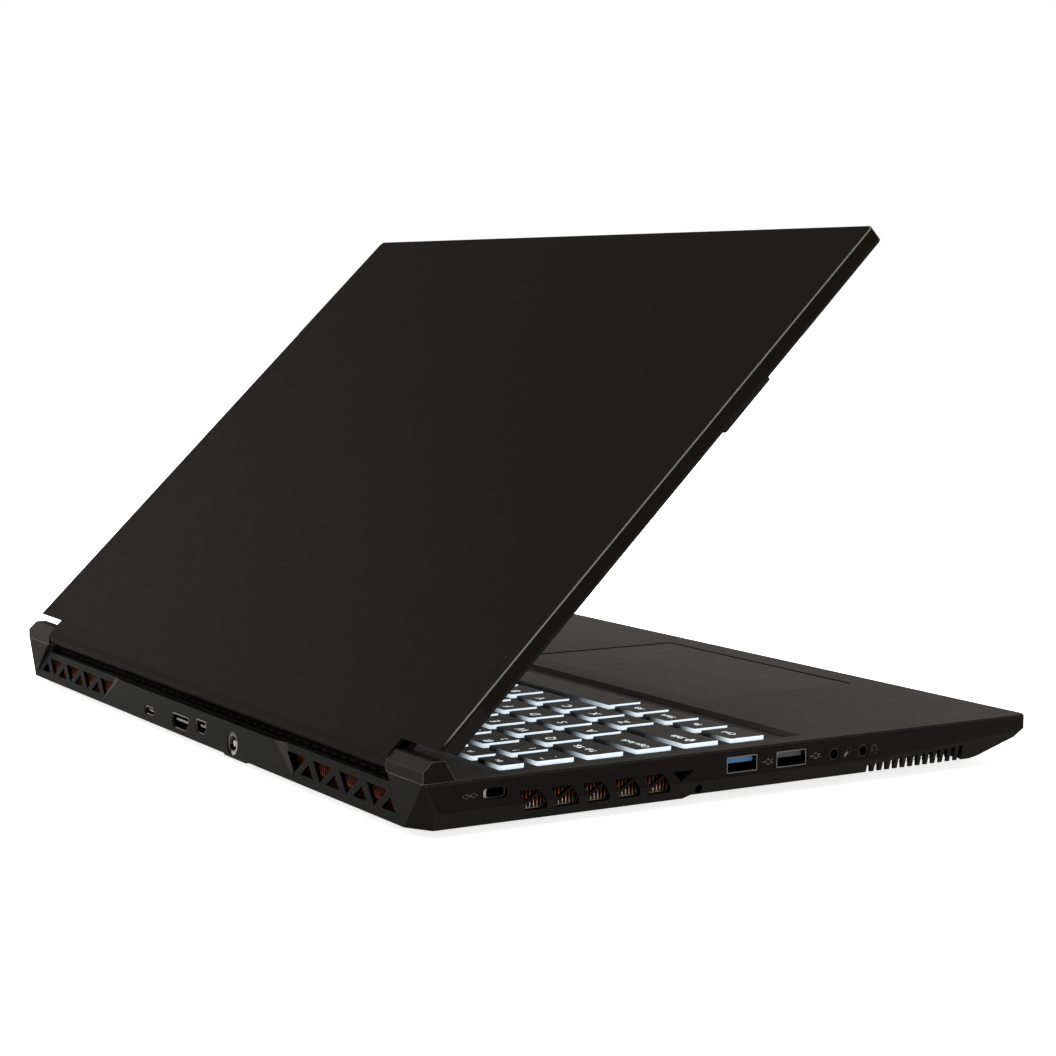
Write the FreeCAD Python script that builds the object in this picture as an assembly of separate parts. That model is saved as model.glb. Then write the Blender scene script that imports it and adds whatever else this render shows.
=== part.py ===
import FreeCAD, Part
import math
import os

# Laptop computer with a forward-leaning open lid, a full keyboard with a number
# pad, exhaust vents at the rear and the sides, and ports on three sides.
# All sizes in millimetres.  Working frame: x to the user's right, y from the
# front edge to the rear, z up from the lowest edge of the rear wall.  On export
# everything moves to the part frame: origin on the resting plane, under the
# middle of the footprint.

# ---------------------------------------------------------------- dimensions
WIDTH = 361.0            # overall width of the base
DEPTH = 258.9            # overall depth of the base, lip to rear wall
FOOT_H = 3.0             # rubber feet below the rear wall's lowest edge
DECK_Z = 15.5            # top of the palm rest
WALL = 1.5               # cover wall thickness
CREASE_Z = 6.0           # parting line between the two covers on the sides
BAND_IN = 1.9            # the lower side band leans in by this much

LID_ANGLE = 44.223       # opening angle of the lid at rest
AXIS_Y = 254.2           # hinge axis
AXIS_Z = 18.9
BARREL_R = 3.5           # rolled edge of the lid round the hinge axis
LID_W = 360.0
LID_H = 242.4            # lid panel, above the hinge caps
LID_T = 6.2
LID_OUT = 3.51           # hinge axis to the lid's outer face
LID_V0 = 6.36            # hinge axis to the lid panel's lower edge
CAP_X0 = 155.5           # inner end of a hinge cap
CAP_X1 = 180.0           # outer end of a hinge cap
PIN_R = 1.3
PIN_BORE_R = 1.35
KNUCKLE_R = 2.05

KEY_TOP = 16.6
KEY_H = 1.6
KEY_GAP = 3.3
KEY_U = 18.6             # key pitch across
KEY_W = KEY_U - KEY_GAP
KEY_D = 14.9
ROW_Y0 = 114.9           # front edge of the bottom row
ROW_PITCH = 19.85
FROW_Y0, FROW_D = 213.9, 9.6
KEYS_X = 170.15          # outer edge of the key field
WELL_X = 172.5           # keyboard well
WELL_Y0, WELL_Y1 = 100.0, 228.0
PLATE_Z0, PLATE_Z1 = 12.8, 13.4

PAD_X0, PAD_X1 = -96.0, 29.0   # touchpad opening
PAD_Y0, PAD_Y1 = 13.3, 88.0
PAD_GAP = 0.3

FAN_X, FAN_Y = 122.0, 200.0    # fan centres at x = -FAN_X and +FAN_X
FAN_POST_R = 2.5
FAN_BORE_R = 2.56

V = FreeCAD.Vector
os.makedirs("parts", exist_ok=True)


# ------------------------------------------------------------------- helpers
def box(x0, x1, y0, y1, z0, z1):
    return Part.makeBox(x1 - x0, y1 - y0, z1 - z0, V(x0, y0, z0))


def face(points):
    return Part.Face(Part.makePolygon(points + [points[0]]))


def prism_yz(points, x0, x1):
    return face([V(x0, y, z) for y, z in points]).extrude(V(x1 - x0, 0, 0))


def prism_xz(points, y0, y1):
    return face([V(x, y0, z) for x, z in points]).extrude(V(0, y1 - y0, 0))


def prism_xy(points, z0, z1):
    return face([V(x, y, z0) for x, y in points]).extrude(V(0, 0, z1 - z0))


def cyl_x(x0, x1, y, z, r):
    return Part.makeCylinder(r, x1 - x0, V(x0, y, z), V(1, 0, 0))


def cyl_y(y0, y1, x, z, r):
    return Part.makeCylinder(r, y1 - y0, V(x, y0, z), V(0, 1, 0))


def cyl_z(z0, z1, x, y, r):
    return Part.makeCylinder(r, z1 - z0, V(x, y, z0), V(0, 0, 1))


def fuse(shapes):
    shapes = list(shapes)
    if len(shapes) == 1:
        return shapes[0]
    return shapes[0].multiFuse(shapes[1:]).removeSplitter()


def cut(shape, tools):
    tools = list(tools)
    return shape.cut(tools) if tools else shape


def mirror(shape):
    return shape.mirror(V(0, 0, 0), V(1, 0, 0))


def beyond(p, n, size=600.0):
    """A large block on the side of the plane through p that n points to."""
    n = V(*n)
    n.normalize()
    b = Part.makeBox(size, size, size, V(-size / 2, -size / 2, 0))
    b.Placement = FreeCAD.Placement(V(*p), FreeCAD.Rotation(V(0, 0, 1), n))
    return b


def normal(a, b, c):
    n = (V(*b) - V(*a)).cross(V(*c) - V(*a))
    return (n.x, n.y, n.z)


def shift(p, n, d):
    n = V(*n)
    n.normalize()
    q = V(*p) + n * d
    return (q.x, q.y, q.z)


def round_rect(x0, x1, y0, y1, r):
    """Rounded rectangle wire in the plane z = 0."""
    k = r * (1 - math.sqrt(0.5))
    e = [
        Part.LineSegment(V(x0 + r, y0, 0), V(x1 - r, y0, 0)),
        Part.Arc(V(x1 - r, y0, 0), V(x1 - k, y0 + k, 0), V(x1, y0 + r, 0)),
        Part.LineSegment(V(x1, y0 + r, 0), V(x1, y1 - r, 0)),
        Part.Arc(V(x1, y1 - r, 0), V(x1 - k, y1 - k, 0), V(x1 - r, y1, 0)),
        Part.LineSegment(V(x1 - r, y1, 0), V(x0 + r, y1, 0)),
        Part.Arc(V(x0 + r, y1, 0), V(x0 + k, y1 - k, 0), V(x0, y1 - r, 0)),
        Part.LineSegment(V(x0, y1 - r, 0), V(x0, y0 + r, 0)),
        Part.Arc(V(x0, y0 + r, 0), V(x0 + k, y0 + k, 0), V(x0 + r, y0, 0)),
    ]
    return Part.Wire([s.toShape() for s in e])


def slab(x0, x1, y0, y1, z0, z1, r):
    s = Part.Face(round_rect(x0, x1, y0, y1, r)).extrude(V(0, 0, z1 - z0))
    s.translate(V(0, 0, z0))
    return s


def slab_x(y0, y1, z0, z1, x0, x1, r):
    """Rounded rectangle in y and z, extruded along x."""
    s = Part.Face(round_rect(y0, y1, z0, z1, r)).extrude(V(0, 0, x1 - x0))
    s.Placement = FreeCAD.Placement(
        V(x0, 0, 0), FreeCAD.Rotation(V(0, 1, 0), V(0, 0, 1), V(1, 0, 0), "ZXY")
    )
    return s


def slab_y(x0, x1, z0, z1, y0, y1, r):
    """Rounded rectangle in x and z, extruded along y."""
    s = Part.Face(round_rect(x0, x1, z0, z1, r)).extrude(V(0, 0, y1 - y0))
    s.rotate(V(0, 0, 0), V(1, 0, 0), 90)
    s.translate(V(0, y1, 0))
    return s


def bevel(shape, size, pick):
    edges = [e for e in shape.Edges if pick(e.BoundBox)]
    return shape.makeChamfer(size, edges) if edges else shape


def put(name, shape, lid=False):
    s = shape.copy()
    if lid:
        s.rotate(V(0, AXIS_Y, AXIS_Z), V(-1, 0, 0), LID_ANGLE)
    s.translate(V(0, -DEPTH / 2, FOOT_H))
    s.exportStep("parts/%s.step" % name)
    print("%-26s solids %3d  valid %s  %9.1f mm3" % (name, len(s.Solids), s.isValid(), s.Volume))


HW = WIDTH / 2.0

# ------------------------------------------------------- outer hull of base
HULL = [
    (0.0, DECK_Z), (0.0, 10.4), (2.6, 9.8), (6.0, 7.3), (22.9, 1.7), (27.0, 1.0),
    (153.0, 1.0), (156.2, 0.0), (DEPTH, 0.0), (258.0, 15.45), (257.9, DECK_Z),
]
CAVITY = [
    (1.8, 13.9), (1.8, 11.9), (3.3, 11.5), (6.9, 8.7), (23.4, 3.1), (27.2, 2.5),
    (150.2, 2.5), (157.2, 1.5), (257.05, 1.5), (254.9, 13.9),
]


def trim_sides(shape, off):
    """Lean the lower side bands in, facet the rear corners."""
    tools = []
    for s in (-1, 1):
        band = ((s * HW, 100, CREASE_Z), (s * (HW - BAND_IN), 100, 0), (s * HW, 200, CREASE_Z))
        fore = ((s * HW, 80, CREASE_Z), (s * HW, 3, 9.9), (s * (HW - BAND_IN), 40, 0.5))
        corner = ((s * 179.5, 258, 15.2), (s * 169.4, DEPTH, 0), (s * 178.5, 253.5, 0))
        for tri in (band, fore, corner):
            n = normal(*tri)
            if n[0] * s < 0:
                n = (-n[0], -n[1], -n[2])
            tools.append(beyond(shift(tri[0], n, -off), n))
    return cut(shape, tools)


outline = Part.Face(round_rect(-HW, HW, 0, 400, 3.0)).extrude(V(0, 0, 60))
outline.translate(V(0, 0, -10))
hull = prism_yz(HULL, -HW, HW).common(outline)
hull = bevel(
    hull, 0.5,
    lambda b: b.ZMin > DECK_Z - 0.01 and (b.XMin > HW - 3.1 or b.XMax < -HW + 3.1 or b.YMax < 3.1) and b.YMin < 250,
)
hull = trim_sides(hull, 0.0)
cavity = prism_yz(CAVITY, -HW + WALL, HW - WALL)
cavity = trim_sides(cavity, WALL + 0.05)
shell = hull.cut(cavity)

# Exhaust walls at the rear lean forward; the middle of the rear wall stays upright.
rear_cuts = []
for s in (-1, 1):
    zone = prism_xz(
        [(s * 73.0, 12.0), (s * 73.0, 17.0), (s * 156.0, 17.0), (s * 156.6, 15.3), (s * 169.4, 0.0),
         (s * 169.9, -0.6), (s * 88.0, -0.6), (s * 87.5, 2.6)], 240.0, 270.0)
    lean = beyond((0, DEPTH, 0), (0, 1, 0.1875))
    tri = ((s * 73.0, 258.2, 12.0), (s * 87.5, 258.75, 2.6), (s * 80.0, 256.65, 12.0))
    n = normal(*tri)
    if n[0] * s < 0:
        n = (-n[0], -n[1], -n[2])
    rear_cuts.append(zone.common(lean).common(beyond(tri[0], n)))
shell = cut(shell, rear_cuts)

# Trough behind the deck that the lid's rolled edge turns in.
shell = cut(shell, [box(-CAP_X0, CAP_X0, 248.3, 270, 12.0, 20)])

# Parting surface between the covers, seen from the side.
PART = [(-5, 10.0), (2.0, 10.0), (32, 8.1), (76, CREASE_Z), (252, CREASE_Z), (257, 15.0), (257.2, 15.4)]
upper = prism_yz(PART + [(300, 15.4), (300, 40), (-5, 40)], -200, 200)
lower = prism_yz([(y, z - 0.12) for y, z in PART[:4]] + [(252.1, CREASE_Z - 0.12), (257.1, 14.9), (257.3, 15.3)]
                 + [(300, 15.3), (300, -40), (-5, -40)], -200, 200)
top_case = shell.common(upper)
base_case = shell.common(lower)

# ---------------------------------------------------------- openings, sides
VENT_Y0, VENT_STEP = 222.8, 12.3
side_cuts = []


def side_prism(points, depth=14.0):
    return prism_yz(points, -HW - 2, -HW + depth)


for i in range(6):
    y = VENT_Y0 - VENT_STEP * i
    side_cuts.append(side_prism([(y, 10.0), (y - 8.7, 9.8), (y - 3.0, 6.4)], 5.0))
    if i < 5:
        side_cuts.append(side_prism(
            [(y - 8.8, 9.0), (y - 11.6, 4.6), (y - 11.5, 3.0), (y - 2.4, 3.0), (y - 3.4, 5.2)], 5.0))

# Speaker slots run over the lower edge into the underside.
SLOT_N, SLOT_STEP, SLOT_W = 13, 3.6, 1.9
slot_cuts = []
for i in range(SLOT_N):
    y = 75.2 - SLOT_STEP * i
    top = 3.6 + (75.6 - y) * (6.6 - 3.6) / 43.5
    slot_cuts.append(box(-HW - 2, -HW + 13.0, y - SLOT_W / 2, y + SLOT_W / 2, -3.0, top))
# The teeth stand free in front of a sound opening in the floor.
slot_cuts.append(slab(-HW + 2.4, -HW + 14.0, 30.0, 77.4, -3.0, 2.75, 1.5))
side_notch = cyl_x(-HW - 2, -HW + 5, 150.0, 2.9, 1.5)

LOCK = (227.0, 236.0, 8.6, 12.1)
lock_cut = slab_x(LOCK[0], LOCK[1], LOCK[2], LOCK[3], -HW - 2, -HW + 4, 1.2)

A_W, A_H = 13.1, 5.7           # rectangular data port shell
PORT3 = (132.3, 9.85)          # centre y, z of the rear left data port
PORT2 = (110.9, 9.70)
MIC = (91.7, 9.3)
EAR = (78.6, 9.3)


def port_hole(c, g=0.15):
    return slab_x(c[0] - A_W / 2 - g, c[0] + A_W / 2 + g, c[1] - A_H / 2 - g, c[1] + A_H / 2 + g,
                  -HW - 2, -HW + 4, 0.5)


jack_holes = [cyl_x(-HW - 2, -HW + 4, c[0], c[1], 2.45) for c in (MIC, EAR)]

# Right side: the vents and speaker slots are repeated; two ports of the kind
# such a machine carries there.
R_PORT = (128.0, 9.8)
R_CARD = (98.0, 10.2)
CARD_W, CARD_H = 25.0, 2.6

right_cuts = [mirror(s) for s in side_cuts + slot_cuts + [side_notch]]
right_cuts += [
    mirror(port_hole(R_PORT)),
    mirror(slab_x(R_CARD[0] - CARD_W / 2 - 0.15, R_CARD[0] + CARD_W / 2 + 0.15, R_CARD[1] - CARD_H / 2 - 0.15,
                  R_CARD[1] + CARD_H / 2 + 0.15, -HW - 2, -HW + 4, 0.5)),
]
left_cuts = side_cuts + slot_cuts + [side_notch, lock_cut, port_hole(PORT3), port_hole(PORT2)] + jack_holes

# ------------------------------------------------------------ rear openings
rear_holes = []
for s in (-1, 1):
    for c in (88.9, 108.6, 128.3, 148.0):
        rear_holes.append(prism_xz([(s * (c - 7.4), 9.4), (s * (c + 7.4), 9.4), (s * c, 2.95)], 250, 264))
    for c in (98.6, 118.3, 138.0, 157.8):
        rear_holes.append(prism_xz([(s * (c - 5.1), 3.15), (s * (c + 5.1), 3.15), (s * c, 7.5)], 250, 264))

TYPEC = (36.1, 44.9, 2.7, 6.1)
VIDEO = [(2.3, 7.6), (17.7, 7.6), (17.7, 4.3), (15.4, 1.8), (4.6, 1.8), (2.3, 4.3)]
MINI = [(-14.1, 8.7), (-5.2, 8.7), (-5.2, 5.6), (-7.0, 3.5), (-12.3, 3.5), (-14.1, 5.6)]
DC = (-38.1, 4.6)
DC_R = 4.4


def grow(points, d):
    cx = sum(p[0] for p in points) / len(points)
    cz = sum(p[1] for p in points) / len(points)
    w = max(abs(p[0] - cx) for p in points)
    h = max(abs(p[1] - cz) for p in points)
    return [(cx + (p[0] - cx) * (w + d) / w, cz + (p[1] - cz) * (h + d) / h) for p in points]


rear_holes += [
    slab_y(TYPEC[0] - 0.15, TYPEC[1] + 0.15, TYPEC[2] - 0.15, TYPEC[3] + 0.15, 250, 264, 1.7),
    prism_xz(grow(VIDEO, 0.15), 250, 264),
    prism_xz(grow(MINI, 0.15), 250, 264),
    cyl_y(250, 264, DC[0], DC[1], DC_R + 0.1),
]

# ---------------------------------------------------------------- base case
screws_xy = [(-117, 36), (117, 36), (-117, 93), (117, 93), (-58, 240), (58, 240), (20, 239.5)]


def floor_z(y):
    return (1.0, 2.5) if y < 150 else (0.0, 1.5)


# bulge under the power jack
base_case = fuse([
    base_case,
    prism_yz([(250.0, 0.0), (252.5, -0.9), (258.3, -0.9), (258.9, 0.0), (258.85, 0.6), (250, 0.6)], -49.0, -31.0),
])
pads = [cyl_z(floor_z(y)[1] - 0.2, floor_z(y)[1] + 1.2, x, y, 4.2) for x, y in screws_xy]
base_case = fuse([base_case] + pads)
bores = []
for x, y in screws_xy:
    z0 = floor_z(y)[0]
    bores += [cyl_z(-5, 20, x, y, 1.35), cyl_z(-5, z0 + 1.3, x, y, 2.6)]
# intake slots under the fans
intake = []
for s in (-1, 1):
    for i in range(13):
        dy = -30 + 5.0 * i
        half = math.sqrt(max(34.0 ** 2 - dy * dy, 100.0))
        for a, b in ((-half, -2.0), (2.0, half)):
            intake.append(slab(s * FAN_X + a, s * FAN_X + b, FAN_Y + dy - 1.2, FAN_Y + dy + 1.2, -2, 4, 1.19))
base_case = cut(base_case, bores + intake + left_cuts + right_cuts + rear_holes)
# seats for the feet
FEET_REAR = [(-150.0, -62.0), (62.0, 150.0)]
FEET_FRONT = [(-158.0, -118.0), (118.0, 158.0)]
put("bottom_cover", base_case)

# ----------------------------------------------------------------- top case
frame_out = fuse([
    box(-WELL_X - 1.5, WELL_X + 1.5, WELL_Y0 - 1.5, WELL_Y1 + 1.5, PLATE_Z0, 14.2),
    box(-165.0, 165.0, WELL_Y0 - 1.5, WELL_Y0 + 3.0, 12.0, 13.0),
    box(-165.0, 165.0, WELL_Y1 - 3.0, WELL_Y1 + 1.5, 12.0, 13.0),
])
frame_in = box(-WELL_X, WELL_X, WELL_Y0, WELL_Y1, PLATE_Z0, 30)
frame_thru = box(-WELL_X + 3, WELL_X - 3, WELL_Y0 + 3, WELL_Y1 - 3, 5, 30)
trough = fuse([
    box(-CAP_X0 - 1.5, CAP_X0 + 1.5, 246.8, 254.6, 10.5, 12.0),
    box(-CAP_X0 - 1.5, CAP_X0 + 1.5, 246.8, 248.3, 11.0, 14.5),
    box(-CAP_X0 - 1.5, -CAP_X0, 246.8, 254.6, 10.5, 15.45),
    box(CAP_X0, CAP_X0 + 1.5, 246.8, 254.6, 10.5, 15.45),
])
trough = cut(trough, [slab(x - 1.6, x + 1.6, 249.6, 253.4, 8, 14, 1.2) for x in range(-140, 141, 7)])
# An upright strip under the rolled edge closes the view through the trough; a
# row of shallow dashes runs along its rear face.
strip = box(-CAP_X0 - 0.5, CAP_X0 + 0.5, 252.9, 254.1, 11.5, 14.7)
strip = cut(strip, [box(x - 2.2, x + 2.2, 253.7, 255.0, 12.7, 13.8) for x in range(-147, 148, 7)])
bosses = [cyl_z(floor_z(y)[1] + 1.2, 14.2, x, y, 2.8) for x, y in screws_xy]
top_case = fuse([top_case, frame_out, trough, strip] + bosses)
BTN = (0.0, 238.0, 11.0, 2.6)   # power button centre and half sizes
top_cuts = [
    frame_in, frame_thru,
    slab(PAD_X0, PAD_X1, PAD_Y0, PAD_Y1, 5, 30, 2.0),
    slab(BTN[0] - BTN[2], BTN[0] + BTN[2], BTN[1] - BTN[3], BTN[1] + BTN[3], 13.0, 30, 1.6),
]
top_cuts += [cyl_z(-5, 12.6, x, y, 1.25) for x, y in screws_xy]
for s in (-1, 1):
    a, b = sorted((s * 158.5, s * 171.5))
    top_cuts.append(box(a, b, 250.6, 256.4, 5, 30))
top_case = cut(top_case, top_cuts + left_cuts + right_cuts)
put("palmrest_cover", top_case)

# --------------------------------------------------------------- hinge caps
CAP = [(258.0, 15.55), (258.0, 19.4), (254.5, 22.6), (250.0, 22.6), (245.7, 15.55)]
CAP_IN = [(257.2, 15.0), (257.2, 19.05), (254.2, 21.8), (250.5, 21.8), (246.6, 15.0)]
cap = prism_yz(CAP, -CAP_X1, -CAP_X0)
cap = bevel(cap, 0.25, lambda b: b.ZMax > 19.0 and b.XMax - b.XMin > 10)
cap = cut(cap, [prism_yz(CAP_IN, -CAP_X1 + 1.0, -CAP_X0 - 1.0),
                cyl_x(-CAP_X0 - 2, -CAP_X0 + 1, AXIS_Y, AXIS_Z, 1.8)])
put("left_hinge_cap", cap)
put("right_hinge_cap", mirror(cap))

# ----------------------------------------------------------- hinge brackets
bracket = fuse([
    cyl_x(-171.0, -159.0, AXIS_Y, AXIS_Z, KNUCKLE_R),
    box(-171.0, -159.0, 251.9, 253.9, 12.3, AXIS_Z),
    box(-171.0, -159.0, 233.5, 253.9, 12.3, 13.8),
])
bracket = cut(bracket, [cyl_x(-180, -150, AXIS_Y, AXIS_Z, PIN_BORE_R),
                        cyl_z(5, 20, -165, 238.0, 1.3), cyl_z(5, 20, -165, 245.0, 1.3)])
put("left_hinge_bracket", bracket)
put("right_hinge_bracket", mirror(bracket))
pin = cyl_x(-172.4, -123.0, AXIS_Y, AXIS_Z, PIN_R)
put("hinge_pins", Part.Compound([pin, mirror(pin)]), lid=True)

# ----------------------------------------------------------- keyboard plate
plate = box(-WELL_X + 0.1, WELL_X - 0.1, WELL_Y0 + 0.1, WELL_Y1 - 0.1, PLATE_Z0, PLATE_Z1)
put("keyboard_plate", plate)


# --------------------------------------------------------------------- keys
def key(x, y, w, d):
    k = slab(x, x + w, y, y + d, KEY_TOP - KEY_H, KEY_TOP, 1.0)
    return bevel(k, 0.2, lambda b: b.ZMin > KEY_TOP - 0.01)


def row_y(i):
    return ROW_Y0 + ROW_PITCH * i


NUM_X = [KEYS_X - KEY_W - KEY_U * (3 - j) for j in range(4)]
MAIN_R = NUM_X[0] - KEY_GAP
TALL = KEY_D + ROW_PITCH
rows = {}
f_pitch = (2 * KEYS_X + 3.0) / 19
rows["function_row_keys"] = [(-KEYS_X + f_pitch * i, FROW_Y0, f_pitch - 3.0, FROW_D) for i in range(19)]
rows["number_row_keys"] = (
    [(-KEYS_X, row_y(4), 13.0, KEY_D)]
    + [(-154.15 + KEY_U * i, row_y(4), KEY_W, KEY_D) for i in range(12)]
    + [(69.05, row_y(4), MAIN_R - 69.05, KEY_D)])
rows["upper_row_keys"] = (
    [(-KEYS_X, row_y(3), 22.2, KEY_D)]
    + [(-144.65 + KEY_U * i, row_y(3), KEY_W, KEY_D) for i in range(12)]
    + [(78.55, row_y(3), MAIN_R - 78.55, KEY_D)])
rows["home_row_keys"] = (
    [(-KEYS_X, row_y(2), 27.1, KEY_D)]
    + [(-139.75 + KEY_U * i, row_y(2), KEY_W, KEY_D) for i in range(11)]
    + [(64.85, row_y(2), MAIN_R - 64.85, KEY_D)])
rows["lower_row_keys"] = (
    [(-KEYS_X, row_y(1), 35.4, KEY_D)]
    + [(-131.4 + KEY_U * i, row_y(1), KEY_W, KEY_D) for i in range(10)]
    + [(54.6, row_y(1), 22.55, KEY_D)])
rows["modifier_keys"] = [(x, row_y(0), w, KEY_D) for x, w in (
    (-KEYS_X, 17.8), (-149.05, 14.1), (-131.7, 15.5), (-112.95, 15.1),
    (0.6, KEY_W), (19.2, KEY_W), (37.8, 20.75))]
rows["space_bar"] = [(-94.55, row_y(0), 91.8, KEY_D)]
rows["arrow_keys"] = [(80.45, row_y(1), KEY_W, KEY_D)] + [
    (x, row_y(0), KEY_W, KEY_D) for x in (61.85, 80.45, 99.05)]
rows["number_pad_keys"] = (
    [(x, row_y(4), KEY_W, KEY_D) for x in NUM_X]
    + [(x, row_y(3), KEY_W, KEY_D) for x in NUM_X[:3]]
    + [(NUM_X[3], row_y(2), KEY_W, TALL)]
    + [(x, row_y(2), KEY_W, KEY_D) for x in NUM_X[:3]]
    + [(x, row_y(1), KEY_W, KEY_D) for x in NUM_X[:3]]
    + [(NUM_X[3], row_y(0), KEY_W, TALL)]
    + [(x, row_y(0), KEY_W, KEY_D) for x in NUM_X[1:3]])
for name, keys in rows.items():
    shapes = [key(*k) for k in keys]
    put(name, shapes[0] if len(shapes) == 1 else Part.Compound(shapes))

# --------------------------------------------------- touchpad, power button
pad = slab(PAD_X0 + PAD_GAP, PAD_X1 - PAD_GAP, PAD_Y0 + PAD_GAP, PAD_Y1 - PAD_GAP, 13.8, 15.2, 1.8)
pad = bevel(pad, 0.2, lambda b: b.ZMin > 15.19)
put("touchpad", pad)
tray = fuse([
    box(PAD_X0 - 4, PAD_X1 + 4, PAD_Y0 - 4, PAD_Y1 + 4, 12.0, 12.9),
    box(PAD_X0 - 4, PAD_X0 - 0.6, PAD_Y0 - 4, PAD_Y1 + 4, 12.9, 13.9),
    box(PAD_X1 + 0.6, PAD_X1 + 4, PAD_Y0 - 4, PAD_Y1 + 4, 12.9, 13.9),
    box(PAD_X0 - 4, PAD_X1 + 4, PAD_Y0 - 4, PAD_Y0 - 0.6, 12.9, 13.9),
    box(PAD_X0 - 4, PAD_X1 + 4, PAD_Y1 + 0.6, PAD_Y1 + 4, 12.9, 13.9),
])
tray = cut(tray, [slab(PAD_X0 + 8 + 40 * i, PAD_X0 + 38 + 40 * i, PAD_Y0 + 12, PAD_Y1 - 12, 11, 14, 3.0)
                  for i in range(3)])
put("touchpad_bracket", tray)

button = slab(BTN[0] - BTN[2] + 0.3, BTN[0] + BTN[2] - 0.3, BTN[1] - BTN[3] + 0.3, BTN[1] + BTN[3] - 0.3,
              13.0, 15.7, 1.3)
button = bevel(button, 0.3, lambda b: b.ZMin > 15.69)
put("power_button", button)

# ------------------------------------------------------------------ cooling
housing = cut(box(-166.0, -86.0, 160.0, 243.5, 1.8, 9.6), [
    box(-167.0, -87.0, 161.0, 244.5, 2.8, 8.6),
    cyl_z(0, 4, -FAN_X, FAN_Y, 29.0),
])
housing = fuse([
    housing,
    box(-167.0 + 1.0, -165.0, 223.0, 243.5, 2.6, 8.8),
    cyl_z(3.9, 8.8, -FAN_X, FAN_Y, FAN_POST_R),
])
put("left_fan_housing", housing)
put("right_fan_housing", mirror(housing))


def rotor(sign):
    hub = cut(cyl_z(3.2, 8.1, 0, 0, 11.0), [cyl_z(3.7, 9, 0, 0, FAN_BORE_R)])
    ring = cut(cyl_z(3.2, 4.0, 0, 0, 26.0), [cyl_z(3, 5, 0, 0, 24.4)])
    blades = []
    for i in range(25):
        b = prism_xy([(10.0, -0.45), (20.0, 0.9), (33.0, 5.2), (33.0, 6.2), (20.0, 1.8), (10.0, 0.45)], 3.4, 7.9)
        b.rotate(V(0, 0, 0), V(0, 0, 1), 360.0 * i / 25)
        blades.append(b)
    r = fuse([hub, ring] + blades)
    if sign > 0:
        r = mirror(r)
    r.translate(V(sign * FAN_X, FAN_Y, 0))
    return r


put("left_fan_rotor", rotor(-1))
put("right_fan_rotor", rotor(1))


def fin_block(x0, x1, y0, y1, z0, z1, along, pitch=1.4, t=0.3):
    plates = [box(x0, x1, y0, y1, z1 - 0.4, z1), box(x0, x1, y0, y1, z0, z0 + 0.4)]
    a, b = (x0, x1) if along == "x" else (y0, y1)
    n = int((b - a - t) // pitch)
    step = (b - a - t) / n
    for i in range(n + 1):
        p = a + step * i
        plates.append(box(p, p + t, y0, y1, z0, z1) if along == "x" else box(x0, x1, p, p + t, z0, z1))
    return fuse(plates)


rear_fins = fin_block(-165.0, -83.0, 245.0, 254.2, 4.3, 10.2, "x")
side_fins = fin_block(-176.6, -167.8, 161.2, 224.5, 2.8, 10.3, "y")
put("left_cooling_fins", Part.Compound([rear_fins, side_fins]))
put("right_cooling_fins", mirror(Part.Compound([rear_fins, side_fins])))


def strip(points, w, z0, z1):
    """Flat pipe of width w along a run of points."""
    out = []
    for a, b in zip(points, points[1:]):
        dx, dy = b[0] - a[0], b[1] - a[1]
        n = math.hypot(dx, dy)
        px, py = -dy / n * w / 2, dx / n * w / 2
        out.append(prism_xy([(a[0] + px, a[1] + py), (b[0] + px, b[1] + py),
                             (b[0] - px, b[1] - py), (a[0] - px, a[1] - py)], z0, z1))
    out += [cyl_z(z0, z1, p[0], p[1], w / 2) for p in points]
    return fuse(out)


PIPES = [
    [(-22.0, 200.0), (-46.0, 206.0), (-72.0, 240.0), (-80.0, 249.4), (-160.0, 249.4)],
    [(22.0, 200.0), (46.0, 206.0), (72.0, 240.0), (80.0, 249.4), (160.0, 249.4)],
    [(-26.0, 190.0), (26.0, 190.0)],
    [(-26.0, 181.0), (26.0, 181.0)],
]
put("heat_pipes", fuse([strip(p, 8.0, 1.7, 4.2) for p in PIPES]
                       + [slab(-36, -8, 176, 206, 3.4, 4.2, 2.0), slab(8, 36, 176, 206, 3.4, 4.2, 2.0)]))
chips = [fuse([slab(x - 13, x + 13, 178, 204, 4.7, 5.4, 0.5), slab(x - 7, x + 7, 184, 196, 4.2, 4.7, 0.4)])
         for x in (-22.0, 22.0)]
put("processor_chips", Part.Compound(chips))

# ------------------------------------------------------------- main board
board = fuse([
    box(-172, 172, 99.0, 159.0, 5.4, 6.6),
    box(-84.5, 84.5, 158.0, 244.0, 5.4, 6.6),
    box(-70, 70, 243.0, 254.8, 5.4, 6.6),
    box(-176.5, -155.0, 73.5, 159.0 - 10, 5.4, 6.6),
    box(136.0, 176.5, 73.5, 159.0 - 10, 5.4, 6.6),
])
board_cuts = [cyl_z(0, 20, x, y, 3.4) for x, y in screws_xy if y > 98]
board_cuts += [
    box(TYPEC[0] - 0.2, TYPEC[1] + 0.2, 246.8, 260, 0, 12),
    box(2.1, 17.9, 246.8, 260, 0, 12),
    box(-14.3, -5.0, 246.8, 260, 0, 12),
    box(DC[0] - 5.6, DC[0] + 5.6, 243.8, 260, 0, 12),
    box(-178.0, -150.0, 148.8, 170, 0, 12), box(150.0, 178.0, 148.8, 170, 0, 12),
]
board = cut(board, board_cuts)
put("motherboard", board)

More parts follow.
